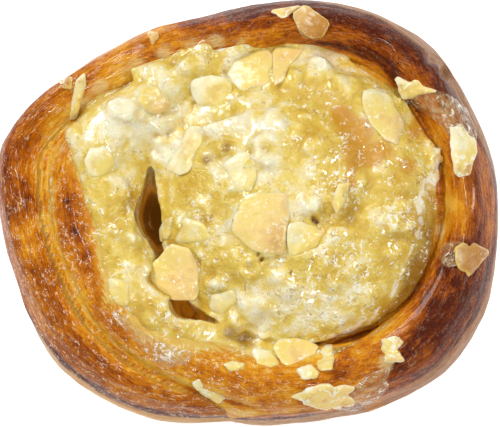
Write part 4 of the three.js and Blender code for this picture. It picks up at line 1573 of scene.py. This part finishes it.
def cream_finish(cream):
    """Wet cream: white on its lumps, custard yellow in its pools, toasted to amber here and there, with
    painted shade and painted glints.
    """
    wet = Finish("cream")
    places = wet.places()
    broad = wet.noise(places, 150, 2)
    fine = wet.noise(places, 480, 3)
    wrinkles = wet.noise(places, 950, 2, 0.5, 1.2)
    curds = wet.noise(places, 280, 3, 0.55, 0.6)
    raised = wet.kept("relief") * 0.5 + wet.kept("white") * 0.55 + (broad - 0.5) * 1.2 + (fine - 0.5) * 1.0
    raised = raised + (curds - 0.5) * 1.8
    tint = wet.ramp(wet.span(raised, -1.2, 1.6), CREAM_TONES)
    # Painted shade in crevices.
    tint = wet.mix(wet.span(wet.kept("crevice") + (fine - 0.5) * 0.4, 0.2, 1.2) * 0.55, tint, CREAM_SHADE)
    toasted = wet.span(wet.kept("toasted") + (fine - 0.5) * 1.0, 0.25, 1.0)
    tint = wet.mix(toasted * 0.8, tint, TOASTED_CREAM)
    along_edge = wet.noise(wet.kept("edge_grain", vector=True), 900, 2)
    # Painted shade on the lip beside the groove.
    lip = wet.span(wet.kept("lip") + (along_edge - 0.5) * 0.5, 0.15, 0.95)
    tint = wet.mix(lip * 0.85, tint, OLIVE_SHADE)
    # Painted shade in the olive spots.
    tint = wet.mix(wet.span(wet.kept("olive") + (fine - 0.5) * 0.8, 0.2, 1.0) * 0.7, tint, OLIVE_SHADE)
    # A painted highlight along the lip's crest.
    crest = wet.lines(wet.kept("lip") + (along_edge - 0.5) * 0.5, 0.14, 0.3)
    tint = wet.mix(crest * wet.span(fine, 0.4, 0.6) * 0.8, tint, CREAM_PAINTED_GLINT)
    # Painted glints, each beside a stroke of painted shade, fewer on the white lumps.
    calm = 1 - wet.span(wet.kept("white") - wet.kept("glitter"), 0.3, 1.2) * 0.6
    more = wet.kept("glitter") * 0.14
    tint = wet.mix(wet.strokes(places, 620, 0.07, (0.44, 0.62), 0.4, more) * calm * 0.5, tint, CREAM_SHADE)
    tint = wet.mix(wet.strokes(places, 620, 0.08, (0.52, 0.66), 0.5, more) * calm, tint, CREAM_PAINTED_GLINT)
    tint = wet.mix(wet.strokes(places, 1050, 0.09, (0.55, 0.68), 0.5, more) * calm * 0.8, tint, CREAM_PAINTED_GLINT)
    # Painted shade in the pits.
    tint = wet.mix(wet.span(wet.kept("pit"), 0.2, 0.8), tint, PIT_SHADE)
    wet.shade(
        cream,
        Base_Color=tint,
        Roughness=wet.span(fine, 0.3, 0.7, 0.08, 0.2),
        Normal=wet.bumped(curds * 0.7 + fine * 0.5 + wrinkles * 0.5, 0.0008, 0.8),
        Subsurface_Weight=0.5,
        Subsurface_Radius=(1.0, 0.75, 0.35),
        Subsurface_Scale=0.0018,
        Coat_Weight=0.6,
        Coat_Roughness=0.04,
    )


ALMOND_WHITE = color(250, 240, 202)
ALMOND_YELLOW = color(242, 216, 120)
ALMOND_PEACH = color(249, 215, 138)
ALMOND_AMBER = color(190, 130, 48)
ALMOND_TONES = [(0.0, ALMOND_WHITE), (0.25, ALMOND_YELLOW), (0.5, ALMOND_PEACH), (1.0, ALMOND_AMBER)]


def almond_finish(name, almonds, glazed):
    """Smooth almond slices from white over yellow to peach, those on the crust with amber glaze on them, with
    painted glints.
    """
    nut = Finish(name)
    slices = nut.kept("slice", vector=True)
    mottle = nut.noise(slices, 420, 3)
    broad = nut.noise(slices, 170, 2)
    grit = nut.noise(slices, 2200, 2)
    tone = nut.kept("tone") + (broad - 0.5) * 1.2 + (mottle - 0.5) * 0.5
    tint = nut.ramp(tone * 0.5, ALMOND_TONES)
    amber = nut.span(broad + (mottle - 0.5) * 0.8 + (grit - 0.5) * 0.2, 0.54, 0.78)
    tint = nut.mix(amber * (0.7 if glazed else 0.25), tint, ALMOND_AMBER)
    rim = nut.span(nut.kept("rim") + (broad - 0.5) * 1.5 + (mottle - 0.5) * 0.8, 0.35, 0.9)
    clean = nut.span(nut.kept("tone"), 1.7, 0.9)
    tint = nut.mix(rim * clean * (0.6 if glazed else 0.25), tint, ALMOND_WHITE)
    tint = nut.mix(rim * (1 - clean) * 0.6, tint, ALMOND_YELLOW)
    # Painted glints on the slices.
    strokes = (450, 0.1, (0.4, 0.56)) if glazed else (700, 0.07, (0.5, 0.64))
    almond_glints = nut.strokes(slices, *strokes)
    tint = nut.mix(almond_glints * (clean * 0.5 + 0.35), tint, CREAM_PAINTED_GLINT)
    nut.shade(
        almonds,
        Base_Color=tint,
        Roughness=nut.span(mottle, 0.3, 0.7, 0.12, 0.32),
        Normal=nut.bumped(broad + mottle * 0.7 + grit * 0.15, 0.001 if glazed else 0.0006, 0.7),
        Subsurface_Weight=0.2,
        Subsurface_Radius=(1.0, 0.7, 0.4),
        Subsurface_Scale=0.0015,
    )


GLAZE_AMBER = color(226, 190, 132)
# Milky white of the films' edges, partly a painted highlight, and of their painted glints.
GLAZE_MILK_AND_GLINT = color(250, 240, 222)


def glaze_finish(films):
    """Clear caramel, with a milky edge that is partly a painted highlight, and painted glints."""
    clear = Finish("glaze")
    mottle = clear.noise(clear.places(), 600, 3)
    edge = clear.span(clear.kept("rim") + (mottle - 0.5) * 1.1, 0.4, 1.0)
    # Painted glints on the films, as white strokes.
    folds = clear.strokes(clear.places(), 450, 0.1, (0.42, 0.58))
    clear.shade(
        films,
        Base_Color=clear.mix(edge + folds, GLAZE_AMBER, GLAZE_MILK_AND_GLINT),
        Alpha=clear.span(mottle, 0.38, 0.66, 0.12, 0.5) + edge * 0.45 + folds * 0.5,
        Roughness=clear.span(mottle, 0.3, 0.7, 0.06, 0.16),
        Normal=clear.bumped(mottle, 0.0008, 0.7),
        Coat_Weight=0.6,
        Coat_Roughness=0.05,
    )


# Stage: floor, light and camera

def pale_floor():
    """A plain white floor that the bun stands on."""
    floor = added("floor", bpy.ops.mesh.primitive_plane_add, size=4)
    bpy.ops.object.mode_set(mode="OBJECT")
    Finish("floor").shade(floor, Base_Color=(0.6, 0.6, 0.6), Roughness=0.8, Emission_Color=(1.0, 1.0, 1.0),
                          Emission_Strength=0.8)


def softbox(name, place, size, power):
    """A square lamp that faces the bun."""
    lamp = bpy.data.objects.new(name, bpy.data.lights.new(name, "AREA"))
    lamp.data.energy = power
    lamp.data.size = size
    lamp.location = place
    lamp.rotation_euler = (VIEW_AIM - lamp.location).to_track_quat("-Z", "Y").to_euler()
    bpy.context.scene.collection.objects.link(lamp)


def studio_light():
    """White surroundings, a broad box above and smaller ones that make sharp highlights."""
    world = bpy.data.worlds.new("studio")
    bpy.context.scene.world = world
    world.use_nodes = True
    backdrop = world.node_tree.nodes["Background"]
    backdrop.inputs["Color"].default_value = (1, 1, 1, 1)
    backdrop.inputs["Strength"].default_value = 0.26
    softbox("upper_left_box", place=(-0.35, 0.35, 0.55), size=0.2, power=2.75)
    softbox("right_box", place=(0.5, 0.1, 0.5), size=0.1, power=1.3)
    softbox("front_spot", place=(0.05, -0.45, 0.6), size=0.06, power=1.0)
    softbox("top_spot", place=(0.14, 0.16, 0.7), size=0.04, power=0.3)
    softbox("left_spot", place=(-0.2, -0.02, 0.68), size=0.04, power=0.3)
    bpy.context.scene.view_settings.view_transform = "Standard"


def photo_camera():
    """Stands where the photo's camera stood, with a long lens."""
    right, up, back = photo_axes()
    turned = Matrix((right, up, back)).transposed().to_4x4()
    camera = bpy.data.objects.new("camera", bpy.data.cameras.new("camera"))
    camera.matrix_world = Matrix.Translation(VIEW_AIM + back * VIEW_DISTANCE) @ turned
    camera.data.lens = camera.data.sensor_width * VIEW_DISTANCE / FRAME_WIDTH
    bpy.context.scene.collection.objects.link(camera)
    bpy.context.scene.camera = camera


# The bun on its stage

dough = baked_dough()
cream = lumpy_cream(dough)
top = [surface_of(dough), surface_of(cream)]
cream_almonds = open_flakes("almonds_on_cream", CREAM_FLAKES, top, cream, seed=41)
crust_almonds = open_flakes("almonds_on_crust", CRUST_FLAKES, top, cream, seed=43)
films = clear_films(top)

dough_values(dough)
cream_values(cream)
crust_finish(dough)
cream_finish(cream)
almond_finish("almond", cream_almonds, glazed=False)
almond_finish("glazed_almond", crust_almonds, glazed=True)
glaze_finish(films)

for piece, slot in ((dough, "baked_dough"), (cream, "caramel_cream"), (cream_almonds, "flaked_almond"),
                    (crust_almonds, "flaked_almond"), (films, "caramel_glaze")):
    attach(piece, "root")
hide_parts("dough_coil")
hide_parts("almond_cream")

pale_floor()
studio_light()
photo_camera()
